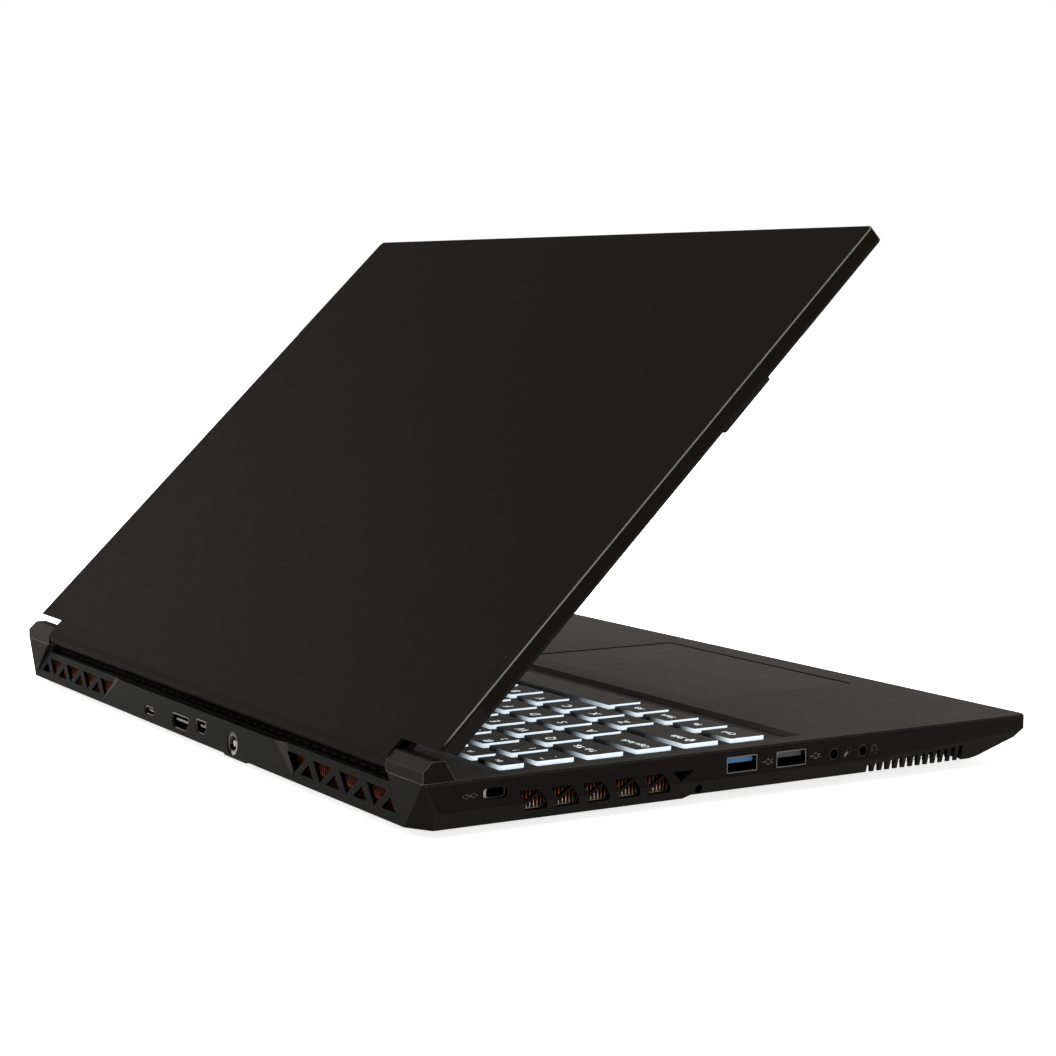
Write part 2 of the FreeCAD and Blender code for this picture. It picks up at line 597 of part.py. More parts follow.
put("storage_module", fuse([box(24, 104, 106, 128, 4.2, 5.0), box(30, 58, 108, 126, 3.0, 4.2),
                            box(62, 96, 108, 126, 3.2, 4.2), box(98, 104, 106, 128, 3.4, 5.4)]))
put("memory_modules", Part.Compound([
    fuse([box(44.0, 113.6, 132, 158, 2.7, 3.5)]
         + [box(46 + 11 * i, 55 + 11 * i, 140, 154, 3.5, 4.1) for i in range(6)]),
    fuse([box(44.0, 113.6, 132, 136, 3.5, 5.4)]),
]))
put("wireless_card", fuse([box(-66, -36, 106, 128, 4.2, 5.0), box(-62, -44, 108, 126, 3.2, 4.2),
                           box(-40, -36, 106, 128, 3.6, 5.4)]))

# ------------------------------------------------------------------ battery
cells = [slab(-100 + 50.2 * i, -50.6 + 50.2 * i, 29.0, 91.0, 2.9, 11.2, 1.5) for i in range(4)]
put("battery_pack", fuse(cells + [slab(-99, 99.4, 30, 90, 3.4, 10.6, 1.0), box(-20, 20, 90, 96, 4.0, 8.0)]))

# ----------------------------------------------------------------- speakers
spk = fuse([slab(-166.0, -128.0, 42.0, 72.0, 2.8, 11.0, 3.0), slab(-164.0, -130.0, 36.0, 44.0, 2.8, 7.5, 2.0)])
spk = cut(spk, [cyl_z(10.0, 12, -147.0, 57.0, 11.0)])
spk = fuse([spk, Part.makeCone(9.5, 4.0, 1.4, V(-147.0, 57.0, 9.4))])
put("left_speaker", spk)
put("right_speaker", mirror(spk))


# -------------------------------------------------------------------- ports
def data_port(c, depth=14.0, w=0.35):
    x0, x1 = -HW + 0.25, -HW + depth
    outer = slab_x(c[0] - A_W / 2, c[0] + A_W / 2, c[1] - A_H / 2, c[1] + A_H / 2, x0, x1, 0.45)
    inner = box(x0 - 1, x1 - 0.6, c[0] - A_W / 2 + w, c[0] + A_W / 2 - w, c[1] - A_H / 2 + w, c[1] + A_H / 2 - w)
    shape = cut(outer, [inner])
    feet = [box(x1 - 6, x1 - 3, c[0] + k - 0.5, c[0] + k + 0.5, 6.6, c[1] - A_H / 2 + 0.2) for k in (-4.5, 4.5)]
    return fuse([shape] + feet)


def tongue(c, depth=14.0):
    x1 = -HW + depth - 0.6
    t = fuse([box(-HW + 1.9, x1, c[0] - 5.6, c[0] + 5.6, c[1] + 0.35, c[1] + 2.2),
              box(x1 - 2.0, x1, c[0] - 6.15, c[0] + 6.15, c[1] - 2.4, c[1] + 2.45)])
    return t


put("left_rear_data_port", data_port(PORT3))
put("left_rear_port_tongue", tongue(PORT3))
put("left_front_data_port", data_port(PORT2))
put("left_front_port_tongue", tongue(PORT2))
put("right_data_port", mirror(fuse([data_port(R_PORT), tongue(R_PORT)])))


def jack(c):
    b = fuse([slab_x(c[0] - 3.4, c[0] + 3.4, 6.6, 12.2, -HW + 1.7, -HW + 14.0, 0.4),
              cyl_x(-HW + 0.35, -HW + 2.5, c[0], c[1], 2.4)])
    return cut(b, [cyl_x(-HW - 1, -HW + 12.0, c[0], c[1], 1.8)])


put("microphone_jack", jack(MIC))
put("headphone_jack", jack(EAR))

lock = cut(box(-HW + 1.6, -HW + 2.9, 224.5, 239.0, 7.0, 13.6),
           [slab_x(LOCK[0] + 0.2, LOCK[1] - 1.9, LOCK[2] + 0.1, LOCK[3] - 0.1, -HW - 2, -HW + 6, 1.1)])
lock = fuse([lock, box(-HW + 1.6, -HW + 6.0, 224.5, 239.0, 12.6, 13.85)])
put("lock_slot_plate", lock)

card = cut(slab_x(R_CARD[0] - CARD_W / 2, R_CARD[0] + CARD_W / 2, R_CARD[1] - CARD_H / 2, R_CARD[1] + CARD_H / 2,
                  -HW + 0.25, -HW + 24.0, 0.5),
           [box(-HW - 2, -HW + 22.5, R_CARD[0] - CARD_W / 2 + 0.5, R_CARD[0] + CARD_W / 2 - 0.5,
                R_CARD[1] - 0.85, R_CARD[1] + 0.85)])
put("card_slot", mirror(card))

PORT_Y0, PORT_Y1 = 247.0, 258.35
tc = cut(slab_y(TYPEC[0], TYPEC[1], TYPEC[2], TYPEC[3], PORT_Y0, PORT_Y1, 1.69),
         [slab_y(TYPEC[0] + 0.4, TYPEC[1] - 0.4, TYPEC[2] + 0.4, TYPEC[3] - 0.4, PORT_Y0 + 1, PORT_Y1 + 2, 1.29)])
tcx, tcz = (TYPEC[0] + TYPEC[1]) / 2, (TYPEC[2] + TYPEC[3]) / 2
put("reversible_port", fuse([tc, box(tcx - 3.3, tcx + 3.3, PORT_Y0 + 0.5, PORT_Y1 - 0.8, tcz - 0.35, tcz + 0.35)]))


def dee_port(points, wall=0.4, tz=0.0, tw=5.5):
    s = cut(prism_xz(points, PORT_Y0, PORT_Y1), [prism_xz(grow(points, -wall), PORT_Y0 + 1, PORT_Y1 + 2)])
    cx = sum(p[0] for p in points) / len(points)
    z1 = max(p[1] for p in points)
    return fuse([s, box(cx - tw, cx + tw, PORT_Y0 + 0.5, PORT_Y1 - 0.8, z1 - tz - 0.9, z1 - tz)])


put("video_port", dee_port(VIDEO, tz=1.9, tw=5.6))
put("mini_video_port", dee_port(MINI, tz=1.9, tw=2.3))
dc = fuse([cyl_y(250.5, 258.3, DC[0], DC[1], DC_R), box(DC[0] - 5.2, DC[0] + 5.2, 244.0, 254.5, 1.7, 9.4)])
dc = cut(dc, [cyl_y(246.0, 262, DC[0], DC[1], 3.0)])
dc = fuse([dc, cyl_y(245.0, 257.6, DC[0], DC[1], 1.2)])
put("power_jack", dc)

# ------------------------------------------------------------ feet, screws
feet = [slab(a, b, 238.0, 247.0, -FOOT_H, 0.0, 3.0) for a, b in FEET_REAR]
feet += [slab(a, b, 36.0, 45.0, -FOOT_H, 1.0, 3.0) for a, b in ((-112.0, -72.0), (72.0, 112.0))]
feet = [bevel(f, 0.6, lambda b: b.ZMax < -FOOT_H + 0.01) for f in feet]
put("rubber_feet", Part.Compound(feet))

screw_list = []
for x, y in screws_xy:
    z0 = floor_z(y)[0]
    s = fuse([cyl_z(z0 + 0.15, z0 + 1.3, x, y, 2.3), cyl_z(z0 + 1.3, z0 + 9.0, x, y, 1.2)])
    s = cut(s, [box(x - 1.5, x + 1.5, y - 0.3, y + 0.3, z0, z0 + 0.75), box(x - 0.3, x + 0.3, y - 1.5, y + 1.5, z0, z0 + 0.75)])
    screw_list.append(s)
put("bottom_screws", Part.Compound(screw_list))

# ---------------------------------------------------------------------- lid
# Drawn closed, then turned open about the hinge axis.  v runs up the lid from
# the panel's lower edge, t goes in from its outer face.
LZ = AXIS_Z + LID_OUT
LY = AXIS_Y - LID_V0
LW = LID_W / 2


def lb(x0, x1, v0, v1, t0, t1):
    return box(x0, x1, LY - v1, LY - v0, LZ - t1, LZ - t0)


def lslab(x0, x1, v0, v1, t0, t1, r):
    return slab(x0, x1, LY - v1, LY - v0, LZ - t1, LZ - t0, r)


CX = CAP_X0 - 0.3
BEZ_T = 3.9                    # inner face of the bezel plate
DISH_T = 5.2                   # outer face of the bezel inside its rim
lid_outline = slab(-LW, LW, LY - LID_H, LY + 20.0, LZ - 12, LZ + 2, 2.5)
lean_cut = beyond((0, LY, LZ), (0, 6.66, -4.2))      # slanted lower edge at the ends
panel = cut(lb(-LW, LW, -1.0, LID_H, 0, LID_T), [beyond((0, LY, LZ), (0, 6.66, -4.2))])
panel = panel.common(lid_outline)
tongue_plate = lb(-CX, CX, -LID_V0, 1.0, 0.0, 1.2)
barrel = cyl_x(-CX, CX, AXIS_Y, AXIS_Z, BARREL_R)

back = panel.common(lb(-LW, LW, -2, LID_H, 0, 1.2))
rim = cut(panel.common(lb(-LW, LW, 20.0, LID_H, 1.1, 4.9)), [lb(-LW + 1.4, LW - 1.4, -5, LID_H - 1.4, 0, 10)])
back = fuse([back, rim, tongue_plate, barrel])
back = bevel(back, 0.4, lambda b: b.ZMin > LZ - 0.01 and (b.XMin > LW - 2.6 or b.XMax < -LW + 2.6 or b.YMax < LY - LID_H + 2.6))
bore = cyl_x(-CX - 1, CX + 1, AXIS_Y, AXIS_Z, 2.5)
back = cut(back, [bore, box(-CX - 1, CX + 1, LY - 0.5, AXIS_Y, LZ - 4.6, LZ - 1.2)])
put("lid_back_cover", back, lid=True)

WIN_X = 172.3                  # visible screen
WIN_V0, WIN_V1 = 36.0, 229.6
plate_b = cut(panel.common(lb(-LW + 1.5, LW - 1.5, -5, LID_H - 1.5, BEZ_T, DISH_T)), [])
rim_b = cut(panel.common(lb(-LW, LW, -5, LID_H, 4.95, LID_T)), [lslab(-LW + 4.5, LW - 4.5, 6.5, LID_H - 4.5, DISH_T, 9, 2.0)])
ends_b = panel.common(lb(-LW, LW, -5, 19.9, 1.25, LID_T))
ends_b = cut(ends_b, [lb(-LW + 1.4, LW - 1.4, -5, 25, 0, 9)])
foot_b = cut(panel.common(lb(-LW, LW, -5, 19.9, 1.25, 4.5)), [
    lb(-CX - 1.2, CX + 1.2, -5, 30, 0, 9),
    cut(lb(-LW + 1.4, LW - 1.4, -5, 30, 0, 9), [beyond((0, LY - 1.6, LZ), (0, 6.66, -4.2))])])
mid_b = lb(-CX, CX, -2.9, 5.0, BEZ_T, 6.0)
bezel = fuse([plate_b, rim_b, ends_b, foot_b, mid_b])
bezel = cut(bezel, [lslab(-WIN_X, WIN_X, WIN_V0, WIN_V1, 0, 9, 0.8),
                    Part.makeCylinder(2.2, 8, V(0, LY - 236.0, LZ - 8), V(0, 0, 1)),
                    Part.makeCylinder(0.7, 8, V(7.0, LY - 236.0, LZ - 8), V(0, 0, 1))])
put("display_bezel", bezel, lid=True)

lcd = fuse([lb(-175.3, 175.3, 27.0, 232.0, 1.3, 3.85), lb(-172.0, 172.0, WIN_V0 + 0.3, WIN_V1 - 0.3, 3.8, 4.3)])
put("display_panel", lcd, lid=True)

cam = fuse([lb(-34, 34, 233.0, 239.5, 2.2, 3.0), lb(-4.0, 4.0, 233.0, 239.0, 2.9, 3.8),
            Part.makeCylinder(2.0, 1.4, V(0, LY - 236.0, LZ - 5.0), V(0, 0, 1))])
put("webcam_module", cam, lid=True)
ant = [lb(s * 100 - 38, s * 100 + 38, 233.5, 240.0, 1.35, 2.0) for s in (-1, 1)]
put("antennas", Part.Compound(ant), lid=True)

leaf = fuse([
    cyl_x(-152.5, -124.0, AXIS_Y, AXIS_Z, 2.4),
    lb(-150.0, -126.0, -LID_V0, 25.0, 1.3, 2.5),
])
leaf = cut(leaf, [cyl_x(-160, -110, AXIS_Y, AXIS_Z, PIN_R)]
           + [Part.makeCylinder(1.2, 9, V(-138 + k, LY - 16, LZ - 9), V(0, 0, 1)) for k in (-8, 8)])
put("left_hinge_leaf", leaf, lid=True)
put("right_hinge_leaf", mirror(leaf), lid=True)

bump = []
for s in (-1, 1):
    a, b = sorted((s * 177.0, s * 179.95))
    for v0, v1 in ((148.0, 174.0),):
        bump.append(lslab(a, b, v0, v1, LID_T, LID_T + 1.1, 0.9))
bump += [lslab(x - 12, x + 12, LID_H - 4.0, LID_H - 1.2, LID_T, LID_T + 0.4, 1.2) for x in (-110.0, 110.0)]
put("bezel_bumpers", Part.Compound(bump), lid=True)
print("files", len([f for f in os.listdir("parts") if f.endswith(".step")]))
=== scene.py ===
import math

import bmesh
import bpy
from mathutils import Matrix, Vector


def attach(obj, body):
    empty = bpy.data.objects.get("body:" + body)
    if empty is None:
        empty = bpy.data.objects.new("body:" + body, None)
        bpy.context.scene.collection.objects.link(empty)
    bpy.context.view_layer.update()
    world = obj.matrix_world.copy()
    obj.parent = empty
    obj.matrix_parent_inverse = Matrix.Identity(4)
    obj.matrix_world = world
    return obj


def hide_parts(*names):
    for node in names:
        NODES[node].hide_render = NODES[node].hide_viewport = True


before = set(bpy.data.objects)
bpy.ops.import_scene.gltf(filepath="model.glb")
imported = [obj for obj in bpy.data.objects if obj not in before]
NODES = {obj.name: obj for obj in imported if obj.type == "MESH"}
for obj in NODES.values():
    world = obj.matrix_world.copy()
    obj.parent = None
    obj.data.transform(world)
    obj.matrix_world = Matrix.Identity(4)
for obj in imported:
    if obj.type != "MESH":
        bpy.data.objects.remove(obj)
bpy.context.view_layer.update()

MM = 0.001
Y0, Z0 = -129.45, 3.0            # working frame (front edge, rear wall foot) to the part frame, mm


def P(x, y, z):
    """Working-frame millimetres to metres in the part frame."""
    return Vector((x * MM, (y + Y0) * MM, (z + Z0) * MM))


def lin(hexa):
    """Display colour to a linear RGBA tuple."""
    out = []
    for i in (0, 2, 4):
        c = int(hexa[i:i + 2], 16) / 255.0
        out.append(c / 12.92 if c <= 0.04045 else ((c + 0.055) / 1.055) ** 2.4)
    return (out[0], out[1], out[2], 1.0)


def scaled(c, k):
    return (min(c[0] * k, 1.0), min(c[1] * k, 1.0), min(c[2] * k, 1.0), 1.0)


# ------------------------------------------------------------------ materials
def new_mat(name):
    m = bpy.data.materials.new(name)
    m.use_nodes = True
    t = m.node_tree
    t.nodes.clear()
    out = t.nodes.new("ShaderNodeOutputMaterial")
    b = t.nodes.new("ShaderNodeBsdfPrincipled")
    t.links.new(b.outputs["BSDF"], out.inputs["Surface"])
    return m, t, b


def noise(t, coord, scale, detail=2.0, rough=0.5, stretch=None):
    n = t.nodes.new("ShaderNodeTexNoise")
    n.inputs["Scale"].default_value = scale
    n.inputs["Detail"].default_value = detail
    n.inputs["Roughness"].default_value = rough
    src = coord
    if stretch:
        mp = t.nodes.new("ShaderNodeMapping")
        mp.inputs["Scale"].default_value = stretch
        t.links.new(coord, mp.inputs["Vector"])
        src = mp.outputs["Vector"]
    t.links.new(src, n.inputs["Vector"])
    return n.outputs["Fac"]


def ramp(t, fac, stops):
    r = t.nodes.new("ShaderNodeValToRGB")
    el = r.color_ramp.elements
    el[0].position, el[0].color = stops[0]
    el[1].position, el[1].color = stops[-1]
    for p, c in stops[1:-1]:
        e = el.new(p)
        e.color = c
    t.links.new(fac, r.inputs["Fac"])
    return r.outputs["Color"]


def remap(t, fac, lo, hi, a=0.25, b=0.75):
    m = t.nodes.new("ShaderNodeMapRange")
    m.inputs["From Min"].default_value = a
    m.inputs["From Max"].default_value = b
    m.inputs["To Min"].default_value = lo
    m.inputs["To Max"].default_value = hi
    t.links.new(fac, m.inputs["Value"])
    return m.outputs["Result"]


def blend(t, fac, a, b):
    """Mix two colours; each of the three may be a constant or a socket."""
    mx = t.nodes.new("ShaderNodeMix")
    mx.data_type = "RGBA"
    for v, k in ((fac, 0), (a, 6), (b, 7)):
        if isinstance(v, (int, float, tuple)):
            mx.inputs[k].default_value = v
        else:
            t.links.new(v, mx.inputs[k])
    return mx.outputs[2]


def calc(t, op, a, b=0.0):
    n = t.nodes.new("ShaderNodeMath")
    n.operation = op
    n.use_clamp = op in ("ADD", "SUBTRACT", "MULTIPLY")
    for v, k in ((a, 0), (b, 1)):
        if isinstance(v, (int, float)):
            n.inputs[k].default_value = v
        else:
            t.links.new(v, n.inputs[k])
    return n.outputs[0]


def axis(t, co, out, k):
    sp = t.nodes.new("ShaderNodeSeparateXYZ")
    t.links.new(co.outputs[out], sp.inputs[0])
    return sp.outputs[k]


def edge_mask(t, radius):
    """White along sharp edges, from the angle between the true and the rounded normal."""
    bv = t.nodes.new("ShaderNodeBevel")
    bv.samples = 4
    bv.inputs["Radius"].default_value = radius
    g = t.nodes.new("ShaderNodeNewGeometry")
    d = t.nodes.new("ShaderNodeVectorMath")
    d.operation = "DOT_PRODUCT"
    t.links.new(bv.outputs["Normal"], d.inputs[0])
    t.links.new(g.outputs["Normal"], d.inputs[1])
    return remap(t, d.outputs["Value"], 1.0, 0.0, 0.80, 0.995), bv.outputs["Normal"]


def moulded(name, colour, rough=0.55, var=0.03, grain=3200.0, bump=0.10, edge=1.5, radius=0.00025,
            spec=0.12, zones=(), edge_from=None, edge_off=None):
    """Moulded or painted surface: fine grain, soft patches of colour and gloss, and paler sharp edges that are partly
    wear and partly a painted highlight.

    zones are (test, colour) pairs; a test builds a 0..1 mask from object-space position or normal."""
    m, t, b = new_mat(name)
    co = t.nodes.new("ShaderNodeTexCoord")
    tc = co.outputs["Object"]
    patch = noise(t, tc, 28.0, 3.0, 0.55)
    speck = noise(t, tc, grain * 0.5, 2.0, 0.6)
    fine = noise(t, tc, grain, 2.0, 0.55)
    base = ramp(t, patch, [(0.30, scaled(colour, 1.0 - var)), (0.70, scaled(colour, 1.0 + var))])
    tint = ramp(t, speck, [(0.32, scaled(colour, 0.75)), (0.68, scaled(colour, 1.25))])
    col = blend(t, 0.35, base, tint)
    mask, nrm = edge_mask(t, radius)
    for test, c in zones:
        speckled = ramp(t, speck, [(0.32, scaled(c, 0.86)), (0.68, scaled(c, 1.14))])
        col = blend(t, test(t, co), col, speckled)
    if edge_from is not None:
        mask = calc(t, "MULTIPLY", mask, remap(t, axis(t, co, "Object", 2), 0.0, 1.0, edge_from, edge_from + 0.0003))
    if edge_off is not None:
        mask = calc(t, "MULTIPLY", mask, calc(t, "SUBTRACT", 1.0, edge_off(t, co)))
    col = blend(t, mask, col, edge if isinstance(edge, tuple) else scaled(colour, edge))
    t.links.new(col, b.inputs["Base Color"])
    t.links.new(remap(t, noise(t, tc, 140.0, 4.0, 0.6), rough - 0.025, rough + 0.025), b.inputs["Roughness"])
    bp = t.nodes.new("ShaderNodeBump")
    bp.inputs["Strength"].default_value = bump
    bp.inputs["Distance"].default_value = 0.00006
    t.links.new(fine, bp.inputs["Height"])
    t.links.new(nrm, bp.inputs["Normal"])
    t.links.new(bp.outputs["Normal"], b.inputs["Normal"])
    b.inputs["Specular IOR Level"].default_value = spec
    return m


def metal(name, colour, rough=0.28, stretch=(1.0, 1.0, 14.0), var=0.10, grain=2200.0, zones=()):
    """Plated or drawn metal with fine brushing and darker stains."""
    m, t, b = new_mat(name)
    co = t.nodes.new("ShaderNodeTexCoord")
    tc = co.outputs["Object"]
    lines = noise(t, tc, grain, 2.0, 0.6, stretch)
    stain = noise(t, tc, 180.0, 4.0, 0.6)
    c1 = ramp(t, stain, [(0.30, scaled(colour, 1.0 - 2.2 * var)), (0.65, scaled(colour, 1.0 + var))])
    c2 = ramp(t, lines, [(0.35, scaled(colour, 0.86)), (0.65, scaled(colour, 1.10))])
    mix = t.nodes.new("ShaderNodeMix")
    mix.data_type = "RGBA"
    mix.inputs["Factor"].default_value = 0.4
    t.links.new(c1, mix.inputs["A"])
    t.links.new(c2, mix.inputs["B"])
    col = mix.outputs["Result"]
    for test, c in zones:
        col = blend(t, test(t, co), col, ramp(t, lines, [(0.35, scaled(c, 0.80)), (0.65, c)]))
    t.links.new(col, b.inputs["Base Color"])
    t.links.new(remap(t, lines, rough - 0.08, rough + 0.10), b.inputs["Roughness"])
    bp = t.nodes.new("ShaderNodeBump")
    bp.inputs["Strength"].default_value = 0.12
    bp.inputs["Distance"].default_value = 0.00004
    t.links.new(lines, bp.inputs["Height"])
    t.links.new(edge_mask(t, 0.00012)[1], bp.inputs["Normal"])
    t.links.new(bp.outputs["Normal"], b.inputs["Normal"])
    b.inputs["Metallic"].default_value = 1.0
    return m


def painted_glow_plastic(name, colour, glow, strength, shaded=False):
    """White plastic with a painted glow (emission in place of light, no lamp), brighter in soft patches; shaded follows
    the mesh's own "shade" values, a painted shade.
    """
    m, t, b = new_mat(name)
    tc = t.nodes.new("ShaderNodeTexCoord").outputs["Object"]
    patch = noise(t, tc, 260.0, 3.0, 0.5)
    base = ramp(t, patch, [(0.30, scaled(colour, 0.92)), (0.70, colour)])
    light = ramp(t, patch, [(0.30, scaled(glow, 0.85)), (0.70, glow)])
    if shaded:
        at = t.nodes.new("ShaderNodeAttribute")
        at.attribute_name = "shade"
        base = blend(t, at.outputs["Fac"], scaled(colour, 0.03), base)
        light = blend(t, at.outputs["Fac"], (0.0, 0.0, 0.0, 1.0), light)
    t.links.new(base, b.inputs["Base Color"])
    t.links.new(light, b.inputs["Emission Color"])
    b.inputs["Emission Strength"].default_value = strength
    t.links.new(remap(t, noise(t, tc, 900.0), 0.38, 0.50), b.inputs["Roughness"])
    b.inputs["Specular IOR Level"].default_value = 0.3
    return m


def board_mat(name, colour):
    """Circuit laminate: dark tracks and pads in a fine grid over a solder mask."""
    m, t, b = new_mat(name)
    tc = t.nodes.new("ShaderNodeTexCoord").outputs["Object"]
    br = t.nodes.new("ShaderNodeTexBrick")
    br.inputs["Scale"].default_value = 240.0
    br.inputs["Mortar Size"].default_value = 0.06
    br.inputs["Color1"].default_value = colour
    br.inputs["Color2"].default_value = scaled(colour, 0.7)
    br.inputs["Mortar"].default_value = scaled(colour, 1.9)
    t.links.new(tc, br.inputs["Vector"])
    vo = t.nodes.new("ShaderNodeTexVoronoi")
    vo.inputs["Scale"].default_value = 420.0
    t.links.new(tc, vo.inputs["Vector"])
    pads = remap(t, vo.outputs["Distance"], 1.0, 0.0, 0.10, 0.14)
    mix = t.nodes.new("ShaderNodeMix")
    mix.data_type = "RGBA"
    t.links.new(pads, mix.inputs["Factor"])
    t.links.new(br.outputs["Color"], mix.inputs["A"])
    mix.inputs["B"].default_value = lin("B9A56A")
    t.links.new(mix.outputs["Result"], b.inputs["Base Color"])
    t.links.new(remap(t, noise(t, tc, 300.0), 0.30, 0.48), b.inputs["Roughness"])
    return m


def screen_mat(name):
    """Switched-off display: near-black polariser with faint pixel rows and haze."""
    m, t, b = new_mat(name)
    tc = t.nodes.new("ShaderNodeTexCoord").outputs["Object"]
    haze = noise(t, tc, 9.0, 2.0, 0.5)
    rows = noise(t, tc, 1400.0, 1.0, 0.5, (1.0, 0.02, 0.02))
    base = ramp(t, haze, [(0.3, lin("08090B")), (0.7, lin("0D0E12"))])
    fine = ramp(t, rows, [(0.3, lin("06070A")), (0.7, lin("111318"))])
    mix = t.nodes.new("ShaderNodeMix")
    mix.data_type = "RGBA"
    mix.inputs["Factor"].default_value = 0.4
    t.links.new(base, mix.inputs["A"])
    t.links.new(fine, mix.inputs["B"])
    t.links.new(mix.outputs["Result"], b.inputs["Base Color"])
    t.links.new(remap(t, haze, 0.33, 0.37), b.inputs["Roughness"])
    b.inputs["Specular IOR Level"].default_value = 0.28
    return m


def paint(mat, *names):
    for n in names:
        o = NODES[n]
        o.data.materials.clear()
        o.data.materials.append(mat)


def lid_chamfer_painted_highlight(t, co):
    """The cut edge between the lid's outer face and its sides, painted pale above 30 mm as a painted highlight."""
    n = t.nodes.new("ShaderNodeVectorMath")
    n.operation = "DOT_PRODUCT"
    t.links.new(co.outputs["Normal"], n.inputs[0])
    n.inputs[1].default_value = (0.0, math.sin(LID), math.cos(LID))
    d = n.outputs["Value"]
    lo = remap(t, d, 0.0, 1.0, 0.50, 0.60)
    hi = remap(t, d, 1.0, 0.0, 0.82, 0.92)
    above = remap(t, axis(t, co, "Object", 2), 0.0, 1.0, 0.030, 0.034)
    return calc(t, "MULTIPLY", calc(t, "MULTIPLY", lo, hi), above)


def facing(t, co, k, lo, hi, both=False):
    """1 where the object-space normal's k-th component is above lo..hi."""
    n = axis(t, co, "Normal", k)
    if both:
        n = calc(t, "ABSOLUTE", n)
    return remap(t, n, 0.0, 1.0, lo, hi)


# Up-facing faces; the deck's lighter colour there is painted light from above.
def top_face_painted_light(t, co):
    return facing(t, co, 2, 0.80, 0.90)


# The outer side walls; the deck's darker colour there is painted shade.
def side_face_painted_shade(t, co):
    out = remap(t, calc(t, "ABSOLUTE", axis(t, co, "Object", 0)), 0.0, 1.0, 0.1775, 0.1785)
    return calc(t, "MULTIPLY", out, facing(t, co, 0, 0.60, 0.75, True))


def behind_lid_painted_shade(t, co):
    """The trough that the lid's rear edge turns in, painted near-black as shade."""
    y = axis(t, co, "Object", 1)
    inside = calc(t, "MAXIMUM", facing(t, co, 2, 0.5, 0.7), remap(t, y, 1.0, 0.0, 0.1262, 0.1266))
    z = remap(t, axis(t, co, "Object", 2), 0.0, 1.0, 0.0135, 0.0141)
    x = remap(t, calc(t, "ABSOLUTE", axis(t, co, "Object", 0)), 1.0, 0.0, 0.1550, 0.1556)
    low = remap(t, axis(t, co, "Object", 2), 1.0, 0.0, 0.01835, 0.01845)
    back_of = remap(t, y, 0.0, 1.0, 0.1185, 0.1188)
    m = calc(t, "MULTIPLY", calc(t, "MULTIPLY", x, z), calc(t, "MULTIPLY", low, back_of))
    return calc(t, "MULTIPLY", m, inside)


def exhaust_facet_painted_light(t, co):
    """The slanted facets where the upright rear wall meets the leaning exhaust walls, painted lighter as a highlight.
    """
    ax = calc(t, "ABSOLUTE", axis(t, co, "Object", 0))
    x = calc(t, "MULTIPLY", remap(t, ax, 0.0, 1.0, 0.0722, 0.0726), remap(t, ax, 1.0, 0.0, 0.0878, 0.0882))
    return calc(t, "MULTIPLY", x, calc(t, "MULTIPLY", facing(t, co, 0, 0.12, 0.18, True), facing(t, co, 1, 0.4, 0.6)))


# Rear-facing faces, painted darker as shade.
def rear_face_painted_shade(t, co):
    return facing(t, co, 1, 0.60, 0.75)


def jack_pin_metal_and_glint(t, co):
    """The bare centre pin of the power jack, painted pale: metal tone plus a painted glint."""
    return remap(t, from_jack(t, co), 1.0, 0.0, 0.00125, 0.00140)


def jack_lip_metal_and_glint(t, co):
    """The plated ring round the power jack's bore, painted paler: metal tone plus a painted highlight."""
    return calc(t, "MULTIPLY", span(t, from_jack(t, co), 0.00295, 0.00345, 0.0001), remap(t, axis(t, co, "Object", 1), 0.0, 1.0, 0.1270, 0.1280))


def from_jack(t, co):
    dx = calc(t, "SUBTRACT", axis(t, co, "Object", 0), -0.0381)
    dz = calc(t, "SUBTRACT", axis(t, co, "Object", 2), 0.0076)
    return calc(t, "SQRT", calc(t, "ADD", calc(t, "MULTIPLY", dx, dx), calc(t, "MULTIPLY", dz, dz)))


def span(t, v, lo, hi, soft=0.0003):
    """1 where v lies between lo and hi."""
    return calc(t, "MULTIPLY", remap(t, v, 0.0, 1.0, lo - soft, lo), remap(t, v, 1.0, 0.0, hi, hi + soft))


def opening_walls_painted_shade(t, co):
    """The walls inside the vents, port openings and speaker slots, painted near-black as shade."""
    x = calc(t, "ABSOLUTE", axis(t, co, "Object", 0))
    y, z = axis(t, co, "Object", 1), axis(t, co, "Object", 2)
    off_x = calc(t, "SUBTRACT", 1.0, facing(t, co, 0, 0.40, 0.55, True))
    off_y = calc(t, "SUBTRACT", 1.0, facing(t, co, 1, 0.40, 0.55, True))
    side = calc(t, "MULTIPLY", calc(t, "MULTIPLY", span(t, x, 0.1660, 0.1803), off_x),
                calc(t, "MULTIPLY", span(t, y, -0.0580, 0.1075), span(t, z, 0.0057, 0.0156)))
    comb = calc(t, "MULTIPLY", calc(t, "MULTIPLY", span(t, x, 0.1660, 0.1803), facing(t, co, 1, 0.80, 0.90, True)),
                calc(t, "MULTIPLY", span(t, y, -0.0995, -0.0515), span(t, z, 0.0020, 0.0105)))
    rear = calc(t, "MULTIPLY", calc(t, "MULTIPLY", span(t, x, 0.0, 0.1690), off_y),
                calc(t, "MULTIPLY", remap(t, y, 0.0, 1.0, 0.1175, 0.1178), span(t, z, 0.0052, 0.0146)))
    return calc(t, "MAXIMUM", calc(t, "MAXIMUM", side, comb), rear)


def pad_rim(t, co):
    """The touchpad's opening in the deck."""
    return calc(t, "MULTIPLY", span(t, axis(t, co, "Object", 0), -0.0966, 0.0296, 0.0002), span(t, axis(t, co, "Object", 1), -0.1168, -0.0408, 0.0002))


